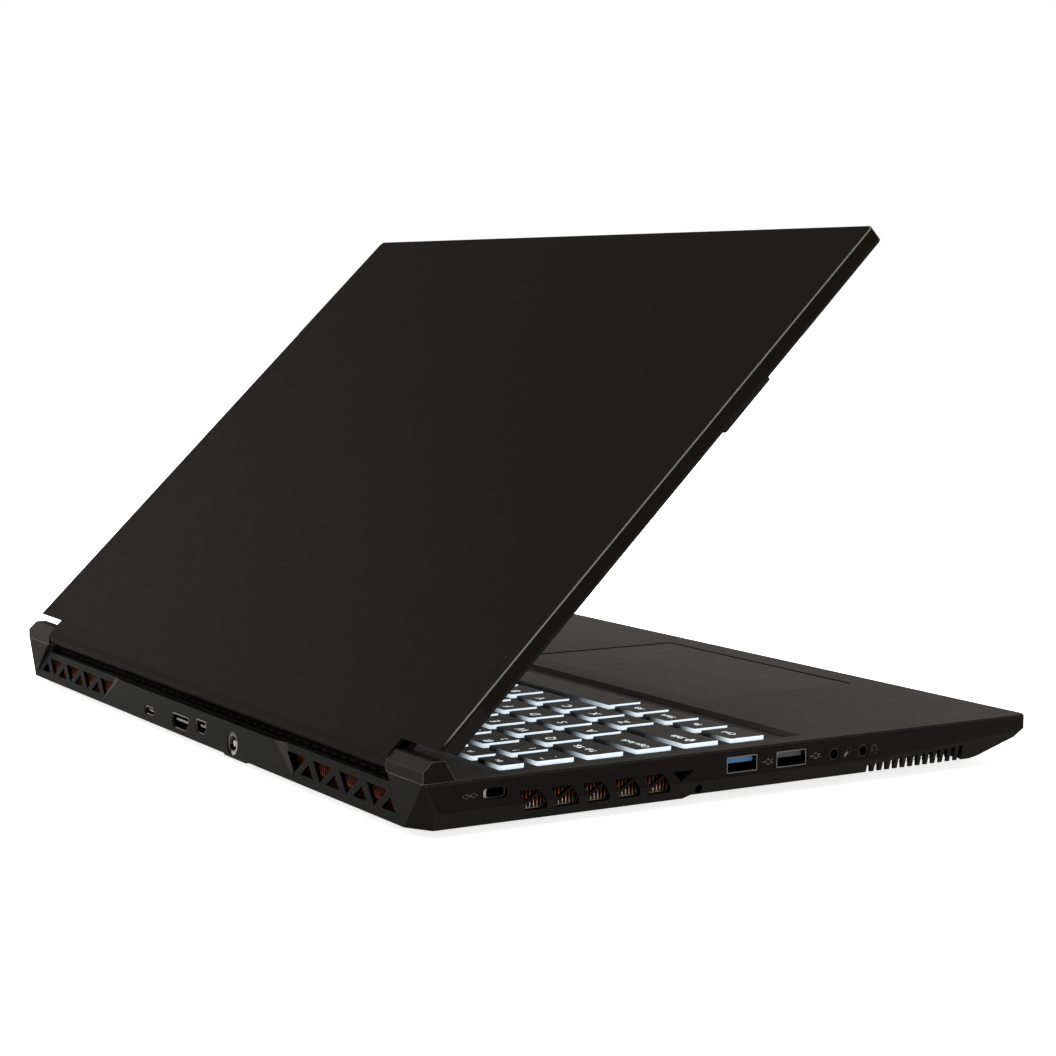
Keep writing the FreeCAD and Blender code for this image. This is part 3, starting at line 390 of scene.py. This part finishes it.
def pad_gap_painted_shade(t, co):
    """The walls of the touchpad's opening, painted near-black as shade."""
    return calc(t, "MULTIPLY", pad_rim(t, co), calc(t, "SUBTRACT", 1.0, facing(t, co, 2, 0.40, 0.60)))


def fin_foot_painted_highlight(t, co):
    """The lower ends of the fins under the vents, painted pale as a highlight where they catch the light."""
    low = remap(t, axis(t, co, "Object", 2), 1.0, 0.0, 0.0062, 0.0086)
    return calc(t, "MULTIPLY", low, remap(t, axis(t, co, "Object", 1), 1.0, 0.0, 0.0960, 0.0965))


def fin_head_painted_shade(t, co):
    """The upper ends of the fins at the sides, painted darker as shade."""
    high = remap(t, axis(t, co, "Object", 2), 0.0, 1.0, 0.0096, 0.0116)
    return calc(t, "MULTIPLY", high, remap(t, axis(t, co, "Object", 1), 1.0, 0.0, 0.0960, 0.0965))


def shell_lip_painted_highlight(t, co):
    """The mouth of a port shell, close to the wall, painted paler as a highlight, weaker at the rear ports."""
    side = remap(t, calc(t, "ABSOLUTE", axis(t, co, "Object", 0)), 0.0, 1.0, 0.1780, 0.1796)
    rear = remap(t, axis(t, co, "Object", 1), 0.0, 0.35, 0.1262, 0.1280)
    return calc(t, "MAXIMUM", side, rear)


def tongue_root(t, co):
    """The back of a port, out of the light."""
    return remap(t, calc(t, "ABSOLUTE", axis(t, co, "Object", 0)), 1.0, 0.0, 0.1735, 0.1765)


def well_front_painted_light(t, co):
    """The keyboard well's front wall, which slopes up to the palm rest, painted lighter as painted light to make up for
    the light it lacks.
    """
    y = axis(t, co, "Object", 1)
    near = calc(t, "MULTIPLY", remap(t, y, 0.0, 1.0, -0.0300, -0.0298), remap(t, y, 1.0, 0.0, -0.0286, -0.0282))
    return calc(t, "MULTIPLY", near, facing(t, co, 1, 0.5, 0.7))


LID = math.radians(44.223)
M = {}
# Lid: the chamfer between the outer face and the sides is painted pale as a highlight.
M["lid"] = moulded("lid_paint", lin("110E0B"), rough=0.62, var=0.02, grain=2600.0, bump=0.10, edge=1.6, spec=0.012,
                   zones=[(lid_chamfer_painted_highlight, lin("6A6C68"))])
# Deck: the pale top-edge colour is a painted highlight; lighter tops and darker sides are painted light and shade; the
# well's front wall is painted lighter; the trough, openings and touchpad gap are painted near-black as shade.
M["deck"] = moulded("deck_plastic", lin("171513"), rough=0.60, var=0.02, grain=3000.0, bump=0.12, edge=lin("5C5750"), radius=0.00045, spec=0.034, edge_from=0.0178, edge_off=pad_rim,
                    zones=[(top_face_painted_light, lin("312E2A")), (side_face_painted_shade, lin("0F0C0A")), (well_front_painted_light, lin("6A645D")),
                           (behind_lid_painted_shade, lin("010101")), (opening_walls_painted_shade, lin("030303")), (pad_gap_painted_shade, lin("020202"))])
# Bottom cover: rear faces painted darker as shade, exhaust facets painted lighter as a highlight, trough and openings
# painted near-black as shade.
M["under"] = moulded("under_plastic", lin("131210"), rough=0.58, grain=2600.0, bump=0.16, edge=3.0, spec=0.03,
                     zones=[(rear_face_painted_shade, lin("0A0908")), (exhaust_facet_painted_light, lin("2C2A28")), (behind_lid_painted_shade, lin("010101")), (opening_walls_painted_shade, lin("030303"))])
# Hinge caps: the pale edge colour is a painted highlight and the rear faces are painted darker as shade.
M["cap"] = moulded("cap_plastic", lin("0E0C0B"), rough=0.50, grain=3000.0, bump=0.12, edge=lin("746F68"), radius=0.00042, spec=0.024,
                   zones=[(rear_face_painted_shade, lin("090807"))])
M["bezel"] = moulded("bezel_plastic", lin("100E0C"), rough=0.55, grain=2800.0, bump=0.14, edge=2.0, spec=0.05)
M["rubber"] = moulded("rubber", lin("111010"), rough=0.80, var=0.06, grain=1800.0, bump=0.25, edge=1.5, spec=0.10)
# The seal's near-black colour is painted shade.
M["seal"] = moulded("seal_painted_shade", lin("020202"), rough=0.90, var=0.06, grain=1800.0, bump=0.20, edge=1.0, spec=0.008)
M["seal_dash"] = moulded("seal_dash", lin("0D0B09"), rough=0.85, var=0.06, grain=1800.0, bump=0.20, edge=1.0, spec=0.02)
M["keytop"] = moulded("key_top_paint", lin("34312D"), rough=0.58, grain=3600.0, bump=0.10, edge=1.0, radius=0.00012, spec=0.06)
M["pad"] = moulded("touchpad_face", lin("2F2C28"), rough=0.56, var=0.02, grain=5200.0, bump=0.05, edge=1.5, radius=0.0002, spec=0.045)
M["plate"] = moulded("key_plate_paint", lin("2A2825"), rough=0.62, grain=2600.0, bump=0.10, edge=1.2, spec=0.05)
M["black"] = moulded("black_insulator", lin("101010"), rough=0.45, var=0.08, grain=2400.0, bump=0.10, edge=1.4, spec=0.25)
# Jack and slot sockets: the pale edge colour is a painted highlight; on the power jack the pin and ring are paler metal
# with a painted glint.
M["socket"] = moulded("socket_plastic", lin("060606"), rough=0.36, grain=2400.0, bump=0.10, edge=lin("3C3A37"), radius=0.0003, spec=0.12)
M["power"] = moulded("power_socket", lin("060606"), rough=0.36, grain=2400.0, bump=0.10, edge=lin("1E1C1A"), radius=0.0003, spec=0.12,
                     zones=[(jack_pin_metal_and_glint, lin("8E8C88")), (jack_lip_metal_and_glint, lin("3E3B38"))])
M["grey"] = moulded("grey_insulator", lin("2A2B2D"), rough=0.45, var=0.08, grain=2400.0, bump=0.10, edge=1.2, spec=0.3,
                    zones=[(tongue_root, lin("060606"))])
M["blue"] = moulded("blue_insulator", lin("23567F"), rough=0.42, var=0.08, grain=2400.0, bump=0.10, edge=1.2, spec=0.3,
                    zones=[(tongue_root, lin("06070A"))])
# Key skirts and legends glow by emission as painted light; the skirts carry painted shade from their "shade" values.
M["glow"] = painted_glow_plastic("key_skirt_painted_glow", lin("F2F6F8"), lin("DCEBF4"), 0.85, True)
M["legend"] = painted_glow_plastic("key_legend", lin("E8ECEC"), lin("E4EEF2"), 0.80)
M["mark"] = moulded("printed_mark", lin("5E5C57"), rough=0.6, var=0.05, grain=4000.0, bump=0.04, edge=1.0, spec=0.1)
M["steel"] = metal("plain_steel", lin("8A8A8C"), 0.35)
M["dull"] = metal("dull_steel", lin("7C7C7E"), 0.42)
# Port shells: the dark tone is painted shade inside the openings and the pale mouth is a painted highlight.
M["shell"] = metal("port_shell", lin("34312D"), 0.26, (14.0, 1.0, 1.0), zones=[(shell_lip_painted_highlight, lin("5A5651"))])
# Copper fins: the tops are painted darker as shade and the lower ends pale as a highlight.
M["copper"] = metal("copper_fins", lin("82432E"), 0.34, (1.0, 1.0, 10.0), 0.14, zones=[(fin_head_painted_shade, lin("5A2C1E")), (fin_foot_painted_highlight, lin("F0D6C0"))])
M["pipe"] = metal("copper_pipe", lin("9C5234"), 0.32, (4.0, 4.0, 1.0), 0.14)
M["board"] = board_mat("circuit_laminate", lin("101412"))
M["chip"] = metal("silicon", lin("6A6C72"), 0.25, (1.0, 1.0, 1.0))
M["screen"] = screen_mat("display_face")
M["button"] = metal("button_metal", lin("3A3836"), 0.40, (1.0, 16.0, 1.0))

paint(M["lid"], "lid_back_cover")
paint(M["bezel"], "display_bezel")
paint(M["deck"], "palmrest_cover")
paint(M["under"], "bottom_cover")
paint(M["cap"], "left_hinge_cap", "right_hinge_cap")
paint(M["plate"], "keyboard_plate")
paint(M["pad"], "touchpad")
paint(M["button"], "power_button")
paint(M["copper"], "left_cooling_fins", "right_cooling_fins")
paint(M["pipe"], "heat_pipes")
paint(M["board"], "motherboard", "storage_module", "memory_modules", "wireless_card", "webcam_module", "antennas")
paint(M["chip"], "processor_chips")
paint(M["black"], "left_fan_housing", "right_fan_housing", "left_fan_rotor", "right_fan_rotor", "battery_pack",
      "left_speaker", "right_speaker")
paint(M["socket"], "microphone_jack", "headphone_jack", "card_slot")
paint(M["power"], "power_jack")
paint(M["grey"], "left_front_port_tongue")
paint(M["blue"], "left_rear_port_tongue")
paint(M["shell"], "left_rear_data_port", "left_front_data_port", "right_data_port", "reversible_port", "video_port",
      "mini_video_port")
paint(M["steel"], "left_hinge_bracket", "right_hinge_bracket", "left_hinge_leaf", "right_hinge_leaf", "hinge_pins",
      "touchpad_bracket", "bottom_screws")
paint(M["dull"], "lock_slot_plate")
paint(M["rubber"], "rubber_feet", "bezel_bumpers")
paint(M["screen"], "display_panel")

# ----------------------------------------------------------------- keyboard
KEY_U, KEY_GAP, KEY_D = 18.6, 3.3, 14.9
KEY_W = KEY_U - KEY_GAP
ROW_Y, ROW_P = 114.9, 19.85
KEYS_X = 170.15
TOP, LOW = 16.6, 15.0
NUM_X = [KEYS_X - KEY_W - KEY_U * (3 - j) for j in range(4)]
MAIN_R = NUM_X[0] - KEY_GAP
TALL = KEY_D + ROW_P
FP = (2 * KEYS_X + 3.0) / 19


def ry(i):
    return ROW_Y + ROW_P * i


def run(x, y, labels):
    return [(x + KEY_U * i, y, KEY_W, KEY_D, s) for i, s in enumerate(labels)]


ROWS = {
    "function_row_keys": [(-KEYS_X + FP * i, 213.9, FP - 3.0, 9.6, s) for i, s in enumerate(
        ["Esc"] + ["F%d" % n for n in range(1, 13)] + ["Ins", "Del", "Home", "End", "PgUp", "PgDn"])],
    "number_row_keys": [(-KEYS_X, ry(4), 13.0, KEY_D, "~\n`")] + run(
        -154.15, ry(4), ["!\n1", "@\n2", "#\n3", "$\n4", "%\n5", "^\n6", "&\n7", "*\n8", "(\n9", ")\n0", "_\n-", "+\n="])
    + [(69.05, ry(4), MAIN_R - 69.05, KEY_D, "Back")],
    "upper_row_keys": [(-KEYS_X, ry(3), 22.2, KEY_D, "Tab")] + run(-144.65, ry(3), list("QWERTYUIOP") + ["{\n[", "}\n]"])
    + [(78.55, ry(3), MAIN_R - 78.55, KEY_D, "|\n\\")],
    "home_row_keys": [(-KEYS_X, ry(2), 27.1, KEY_D, "Caps lock")] + run(-139.75, ry(2), list("ASDFGHJKL") + [":\n;", "\"\n'"])
    + [(64.85, ry(2), MAIN_R - 64.85, KEY_D, "Enter")],
    "lower_row_keys": [(-KEYS_X, ry(1), 35.4, KEY_D, "Shift")] + run(-131.4, ry(1), list("ZXCVBNM") + ["<\n,", ">\n.", "?\n/"])
    + [(54.6, ry(1), 22.55, KEY_D, "Shift")],
    "modifier_keys": [(x, ry(0), w, KEY_D, s) for x, w, s in (
        (-KEYS_X, 17.8, "Ctrl"), (-149.05, 14.1, "Fn"), (-131.7, 15.5, "Start"), (-112.95, 15.1, "Alt"),
        (0.6, KEY_W, "Alt"), (19.2, KEY_W, "Menu"), (37.8, 20.75, "Ctrl"))],
    "space_bar": [(-94.55, ry(0), 91.8, KEY_D, "-")],
    "arrow_keys": [(80.45, ry(1), KEY_W, KEY_D, "^")] + [
        (x, ry(0), KEY_W, KEY_D, s) for x, s in ((61.85, "<"), (80.45, "v"), (99.05, ">"))],
    "number_pad_keys": [(x, ry(4), KEY_W, KEY_D, s) for x, s in zip(NUM_X, ["Num", "/", "*", "-"])]
    + [(x, ry(3), KEY_W, KEY_D, s) for x, s in zip(NUM_X, "789")]
    + [(NUM_X[3], ry(2), KEY_W, TALL, "+")]
    + [(x, ry(2), KEY_W, KEY_D, s) for x, s in zip(NUM_X, "456")]
    + [(x, ry(1), KEY_W, KEY_D, s) for x, s in zip(NUM_X, "123")]
    + [(NUM_X[3], ry(0), KEY_W, TALL, "Enter")]
    + [(x, ry(0), KEY_W, KEY_D, s) for x, s in zip(NUM_X[1:3], "0.")],
}


def ring(x0, x1, y0, y1, r, inset, n=5):
    """Points round a rounded rectangle, drawn in by inset."""
    x0, x1, y0, y1, r = x0 + inset, x1 - inset, y0 + inset, y1 - inset, max(r - inset, 0.25)
    pts = []
    for cx, cy, a0 in ((x1 - r, y0 + r, -90), (x1 - r, y1 - r, 0), (x0 + r, y1 - r, 90), (x0 + r, y0 + r, 180)):
        for k in range(n + 1):
            a = math.radians(a0 + 90.0 * k / n)
            pts.append((cx + r * math.cos(a), cy + r * math.sin(a)))
        if a0 == 0:
            run_x = x1 - r - (x0 + r)
            pts += [(x1 - r - run_x * u, y1) for u in (0.30, 0.50, 0.65, 0.78, 0.88, 0.95)]
    return pts


def add_key(bm, x, y, w, d):
    """One keycap: straight white skirt with a hollow underside, dark rolled edge, gently dished top.

    The skirt's painted glow and shade: full on the left face, fading along the rear face away from the left corner,
    dimmer on the front and right faces."""
    lay = bm.verts.layers.float.get("shade") or bm.verts.layers.float.new("shade")
    skirt = [(0.95, LOW + 0.55), (0.75, LOW), (0.06, LOW), (0.0, LOW + 0.10), (0.0, TOP - 0.11), (0.03, TOP - 0.06),
             (0.12, TOP - 0.015), (0.32, TOP), (2.6, TOP - 0.04), (4.3, TOP - 0.06)]
    rings = []
    for inset, z in skirt:
        loop = []
        for px, py in ring(x, x + w, y, y + d, 1.05, inset):
            v = bm.verts.new(P(px, py, z))
            fade = max(0.0, 1.0 - (px - x - 0.9) / (0.55 * min(w, 40.0)))
            if px - x < 0.9:
                v[lay] = 1.0
            elif y + d - py < 0.9:
                v[lay] = fade ** 1.4
            elif x + w - px < 0.9:
                v[lay] = 0.35
            else:
                v[lay] = 0.75
            loop.append(v)
        rings.append(loop)
    n = len(rings[0])
    for k in range(len(rings) - 1):
        for i in range(n):
            f = bm.faces.new((rings[k][i], rings[k][(i + 1) % n], rings[k + 1][(i + 1) % n], rings[k + 1][i]))
            f.smooth = True
            f.material_index = 0 if k < 5 else 1
    f = bm.faces.new(rings[-1])
    f.material_index = 1
    f.smooth = True
    f = bm.faces.new(list(reversed(rings[0])))
    f.material_index = 0


def piece(name, bm, mats, body, node=None):
    me = bpy.data.meshes.new(name)
    bm.normal_update()
    bm.to_mesh(me)
    bm.free()
    for m in mats:
        me.materials.append(m)
    o = bpy.data.objects.new(name, me)
    bpy.context.scene.collection.objects.link(o)
    if node:
        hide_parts(node)
    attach(o, body)
    return o


legend_jobs = []                 # (row, text, size mm, x, y)
glyph_jobs = []                  # (row, strokes, x, y)
TAB_MARK = [[(-2.2, 0.9), (2.0, 0.9)], [(-1.3, 1.6), (-2.2, 0.9), (-1.3, 0.2)],
            [(2.2, -0.9), (-2.0, -0.9)], [(1.3, -0.2), (2.2, -0.9), (1.3, -1.6)]]
SHIFT_MARK = [[(-0.7, -1.7), (-0.7, 0.0), (-1.7, 0.0), (0.0, 1.9), (1.7, 0.0), (0.7, 0.0), (0.7, -1.7), (-0.7, -1.7)]]
BACK_MARK = [[(-2.4, 0.0), (2.4, 0.0)], [(-1.4, 0.9), (-2.4, 0.0), (-1.4, -0.9)]]


def flat_strokes(bm, lines, x, y, width=0.42):
    """Thin printed strokes on a key's top, in millimetres round x, y."""
    for pts in lines:
        for a, b in zip(pts, pts[1:]):
            d = Vector((b[0] - a[0], b[1] - a[1]))
            n = Vector((-d.y, d.x)).normalized() * width / 2
            e = d.normalized() * width * 0.35
            q = [(a[0] - e.x + n.x, a[1] - e.y + n.y), (b[0] + e.x + n.x, b[1] + e.y + n.y),
                 (b[0] + e.x - n.x, b[1] + e.y - n.y), (a[0] - e.x - n.x, a[1] - e.y - n.y)]
            lo = [bm.verts.new(P(x + u, y + w, TOP - 0.055)) for u, w in q]
            hi = [bm.verts.new(P(x + u, y + w, TOP - 0.015)) for u, w in q]
            bm.faces.new(lo)
            bm.faces.new(list(reversed(hi)))
            for i in range(4):
                bm.faces.new((lo[i], hi[i], hi[(i + 1) % 4], lo[(i + 1) % 4]))


for row, keys in ROWS.items():
    bm = bmesh.new()
    for x, y, w, d, s in keys:
        add_key(bm, x, y, w, d)
        short = d < 12
        parts = s.split("\n")
        if len(parts) == 2:
            legend_jobs.append((row, parts[0], 3.9, x + 3.6, y + d - 4.0))
            legend_jobs.append((row, parts[1], 3.9, x + 3.6, y + 4.2))
        elif row == "space_bar":
            legend_jobs.append((row, "_", 5.0, x + w * 0.93, y + d * 0.62))
        elif len(s) == 1:
            legend_jobs.append((row, s, 5.4, x + w * 0.38, y + d * 0.62))
        else:
            along = x + w * 0.5 if w < 19 else x + 9.6
            if s == "Shift":
                along = x + 12.2
                glyph_jobs.append((row, SHIFT_MARK, x + 5.2, y + d * 0.58))
            elif s == "Tab":
                along = x + 7.4
                glyph_jobs.append((row, TAB_MARK, x + 14.6, y + d * 0.58))
            elif s == "Back":
                glyph_jobs.append((row, BACK_MARK, x + 18.4, y + d * 0.58))
            legend_jobs.append((row, s, 2.8 if short else 3.9, along, y + d * 0.58))
    bmesh.ops.recalc_face_normals(bm, faces=bm.faces)
    piece(row + "_caps", bm, [M["glow"], M["keytop"]], row, node=row)

tmp = []
for row, s, size, x, y in legend_jobs:
    cu = bpy.data.curves.new("legend", "FONT")
    cu.body = s
    cu.size = size * MM
    cu.align_x, cu.align_y = "CENTER", "CENTER"
    cu.extrude = 0.02 * MM
    cu.resolution_u = 3
    o = bpy.data.objects.new("legend", cu)
    o.location = P(x, y, TOP - 0.035)
    bpy.context.scene.collection.objects.link(o)
    tmp.append((row, o))
bpy.context.view_layer.update()
dg = bpy.context.evaluated_depsgraph_get()
marks = {}
for row, o in tmp:
    me = bpy.data.meshes.new_from_object(o.evaluated_get(dg))
    me.transform(o.matrix_world)
    bm = marks.setdefault(row, bmesh.new())
    bm.from_mesh(me)
    bpy.data.meshes.remove(me)
for row, o in tmp:
    cu = o.data
    bpy.data.objects.remove(o)
    bpy.data.curves.remove(cu)
for row, bm in marks.items():
    bmesh.ops.remove_doubles(bm, verts=bm.verts, dist=1e-7)
    for target, lines, x, y in glyph_jobs:
        if target == row:
            flat_strokes(bm, lines, x, y)
    piece(row + "_legends", bm, [M["legend"]], row)


# ------------------------------------------------------ printed port symbols
def side_strokes(name, lines, y, z, width=0.30, x=-180.5):
    """Small printed symbol on the left side wall: strokes in (right, up) millimetres round y, z."""
    bm = bmesh.new()
    for pts in lines:
        for a, b in zip(pts, pts[1:]):
            d = Vector((b[0] - a[0], b[1] - a[1]))
            n = Vector((-d.y, d.x)).normalized() * width / 2
            e = d.normalized() * width * 0.35
            q = [(a[0] - e.x + n.x, a[1] - e.y + n.y), (b[0] + e.x + n.x, b[1] + e.y + n.y),
                 (b[0] + e.x - n.x, b[1] + e.y - n.y), (a[0] - e.x - n.x, a[1] - e.y - n.y)]
            lo = [bm.verts.new(P(x + 0.01, y - u, z + w)) for u, w in q]
            hi = [bm.verts.new(P(x - 0.03, y - u, z + w)) for u, w in q]
            bm.faces.new(lo)
            bm.faces.new(list(reversed(hi)))
            for i in range(4):
                bm.faces.new((lo[i], hi[i], hi[(i + 1) % 4], lo[(i + 1) % 4]))
    bmesh.ops.recalc_face_normals(bm, faces=bm.faces)
    return piece(name, bm, [M["mark"]], "base")


def arc(cx, cy, r, a0, a1, n=10):
    return [(cx + r * math.cos(math.radians(a0 + (a1 - a0) * i / n)),
             cy + r * math.sin(math.radians(a0 + (a1 - a0) * i / n))) for i in range(n + 1)]


def loop_rect(cx, cy, w, h, r, n=4):
    pts = []
    for sx, sy, a0 in ((1, -1, -90), (1, 1, 0), (-1, 1, 90), (-1, -1, 180)):
        pts += arc(cx + sx * (w / 2 - r), cy + sy * (h / 2 - r), r, a0, a0 + 90, n)
    return pts + pts[:1]


def turned(lines, deg):
    c, s_ = math.cos(math.radians(deg)), math.sin(math.radians(deg))
    return [[(u * c - w * s_, u * s_ + w * c) for u, w in pts] for pts in lines]


side_strokes("lock_symbol", [loop_rect(-1.3, 0, 1.8, 1.3, 0.6), loop_rect(1.3, 0, 1.8, 1.3, 0.6), [(-0.8, 0), (0.8, 0)],
                             [(-2.2, 0), (-2.7, 0)], [(2.2, 0), (2.7, 0)]], 241.0, 10.4, 0.26)
for k, yy in enumerate((121.6, 100.8)):
    side_strokes("plug_symbol_%d" % (k + 1), [loop_rect(0.4, 0, 2.0, 1.7, 0.3), [(-0.6, 0), (-2.0, 0)], [(1.4, 0.45), (2.2, 0.45)],
                                              [(1.4, -0.45), (2.2, -0.45)]], yy, 9.6)
side_strokes("microphone_symbol", turned([loop_rect(1.2, 0, 1.7, 1.5, 0.7), [(0.3, 0.4), (-2.0, 0.2)], [(0.3, -0.4), (-2.0, -0.2)],
                                          [(-2.0, 0.2), (-2.0, -0.2)], [(0.3, 0.0), (-1.9, 0.0)]], 45.0), 86.2, 9.4)
side_strokes("headphone_symbol", [arc(0, 0.3, 1.15, -5, 185), loop_rect(-1.1, -0.5, 0.62, 1.05, 0.25), loop_rect(1.1, -0.5, 0.62, 1.05, 0.25),
                                  arc(0.3, -0.7, 0.9, -20, -100, 5)], 73.7, 9.5, 0.26)


# ------------------------------------- soft seal under the lid's rolled edge, near-black as painted shade
SEAL = [(254.12, 12.03), (254.42, 12.03), (254.45, 12.15), (254.45, 14.70), (254.57, 15.02), (254.62, 15.20), (254.60, 15.305),
        (254.40, 15.29), (254.20, 15.285), (254.00, 15.29), (253.70, 15.32), (253.48, 15.365), (253.40, 15.37), (253.36, 15.28),
        (253.40, 14.72), (254.12, 14.72)]     # section in y, z
bm = bmesh.new()
ends = [[bm.verts.new(P(x, y, z)) for y, z in SEAL] for x in (-154.9, 154.9)]
for i in range(len(SEAL)):
    j = (i + 1) % len(SEAL)
    bm.faces.new((ends[0][i], ends[1][i], ends[1][j], ends[0][j]))
for ring_ in ends:
    bm.faces.new(ring_)
for x in range(-147, 148, 7):
    lo = [bm.verts.new(P(x + u * 1.9, 254.44, 13.4 + w * 0.45)) for u, w in ((-1, -1), (1, -1), (1, 1), (-1, 1))]
    hi = [bm.verts.new(P(x + u * 1.7, 254.56, 13.4 + w * 0.32)) for u, w in ((-1, -1), (1, -1), (1, 1), (-1, 1))]
    fs = [bm.faces.new(lo), bm.faces.new(hi)]
    fs += [bm.faces.new((lo[i], hi[i], hi[(i + 1) % 4], lo[(i + 1) % 4])) for i in range(4)]
    for f in fs:
        f.material_index = 1
bmesh.ops.recalc_face_normals(bm, faces=bm.faces)
piece("lid_edge_seal", bm, [M["seal"], M["seal_dash"]], "base")


# ---------------------------------------------------------- camera and stage
F_PX, CX, CY = 2309.92, 480.46, 482.44
AZ, EL, DIST, ROLL = math.radians(239.171), math.radians(4.66), 941.84, math.radians(0.314)
back = Vector((math.sin(AZ) * math.cos(EL), -math.cos(AZ) * math.cos(EL), math.sin(EL)))
eye = P(0, 130.0, 93.6) + back * (DIST * MM)
right = (-back).cross(Vector((0, 0, 1))).normalized()
up = right.cross(-back)
R = right * math.cos(ROLL) + up * math.sin(ROLL)
U = up * math.cos(ROLL) - right * math.sin(ROLL)
cam = bpy.data.cameras.new("camera")
cam.sensor_width = 36.0
cam.lens = F_PX * 36.0 / 1056.0
cam.shift_x = (528.0 - CX) / 1056.0
cam.shift_y = (CY - 528.0) / 1056.0
cam.clip_start, cam.clip_end = 0.01, 60.0
co = bpy.data.objects.new("camera", cam)
co.matrix_world = Matrix.Translation(eye) @ Matrix((R, U, back)).transposed().to_4x4()
bpy.context.scene.collection.objects.link(co)
bpy.context.scene.camera = co

bm = bmesh.new()
bmesh.ops.create_circle(bm, cap_ends=True, cap_tris=False, segments=96, radius=9.0)
floor_me = bpy.data.meshes.new("floor")
bm.to_mesh(floor_me)
bm.free()
fm, ft, fb = new_mat("floor_paper")
ftc = ft.nodes.new("ShaderNodeTexCoord").outputs["Object"]
ft.links.new(ramp(ft, noise(ft, ftc, 3.0, 2.0), [(0.3, lin("F2F2F1")), (0.7, lin("F6F6F5"))]), fb.inputs["Base Color"])
fb.inputs["Roughness"].default_value = 0.9
fb.inputs["Specular IOR Level"].default_value = 0.05
fb.inputs["Emission Color"].default_value = (1.0, 1.0, 1.0, 1.0)
fb.inputs["Emission Strength"].default_value = 0.80
floor_me.materials.append(fm)
floor = bpy.data.objects.new("floor", floor_me)
bpy.context.scene.collection.objects.link(floor)


def area(name, loc, aim, size, watts, colour=(1, 1, 1)):
    li = bpy.data.lights.new(name, "AREA")
    li.shape = "RECTANGLE"
    li.size, li.size_y = size
    li.energy = watts
    li.color = colour
    o = bpy.data.objects.new(name, li)
    o.location = loc
    o.rotation_euler = (Vector(aim) - Vector(loc)).to_track_quat("-Z", "Y").to_euler()
    bpy.context.scene.collection.objects.link(o)
    return o


area("key_soft", (0.35, -0.75, 1.50), (0, 0, 0.05), (1.3, 1.0), 14.0, (1.0, 0.985, 0.96))
area("rear_fill", (0.80, 0.80, 0.38), (0.12, 0.10, 0.06), (0.4, 0.3), 2.8, (1.0, 0.98, 0.95))
area("lid_fill", (0.85, 0.38, 0.50), (0.14, 0.10, 0.06), (0.3, 0.3), 3.2, (1.0, 0.99, 0.96))
area("left_fill", (-1.5, 0.05, 0.70), (-0.10, -0.02, 0.02), (0.6, 0.5), 1.0, (0.96, 0.98, 1.0))
sun = bpy.data.lights.new("overhead", "SUN")
sun.energy = 1.6
sun.angle = math.radians(70.0)
so = bpy.data.objects.new("overhead", sun)
so.rotation_euler = (math.radians(-12.0), math.radians(8.0), 0.0)
bpy.context.scene.collection.objects.link(so)

world = bpy.data.worlds.new("studio")
bpy.context.scene.world = world
world.use_nodes = True
wt = world.node_tree
bg = wt.nodes["Background"]
lp = wt.nodes.new("ShaderNodeLightPath")
mr = wt.nodes.new("ShaderNodeMapRange")
mr.inputs["To Min"].default_value = 0.55
mr.inputs["To Max"].default_value = 1.0
wt.links.new(lp.outputs["Is Camera Ray"], mr.inputs["Value"])
bg.inputs["Color"].default_value = (1.0, 1.0, 1.0, 1.0)
wt.links.new(mr.outputs["Result"], bg.inputs["Strength"])
bpy.context.scene.view_settings.view_transform = "Standard"
bpy.context.scene.view_settings.look = "None"
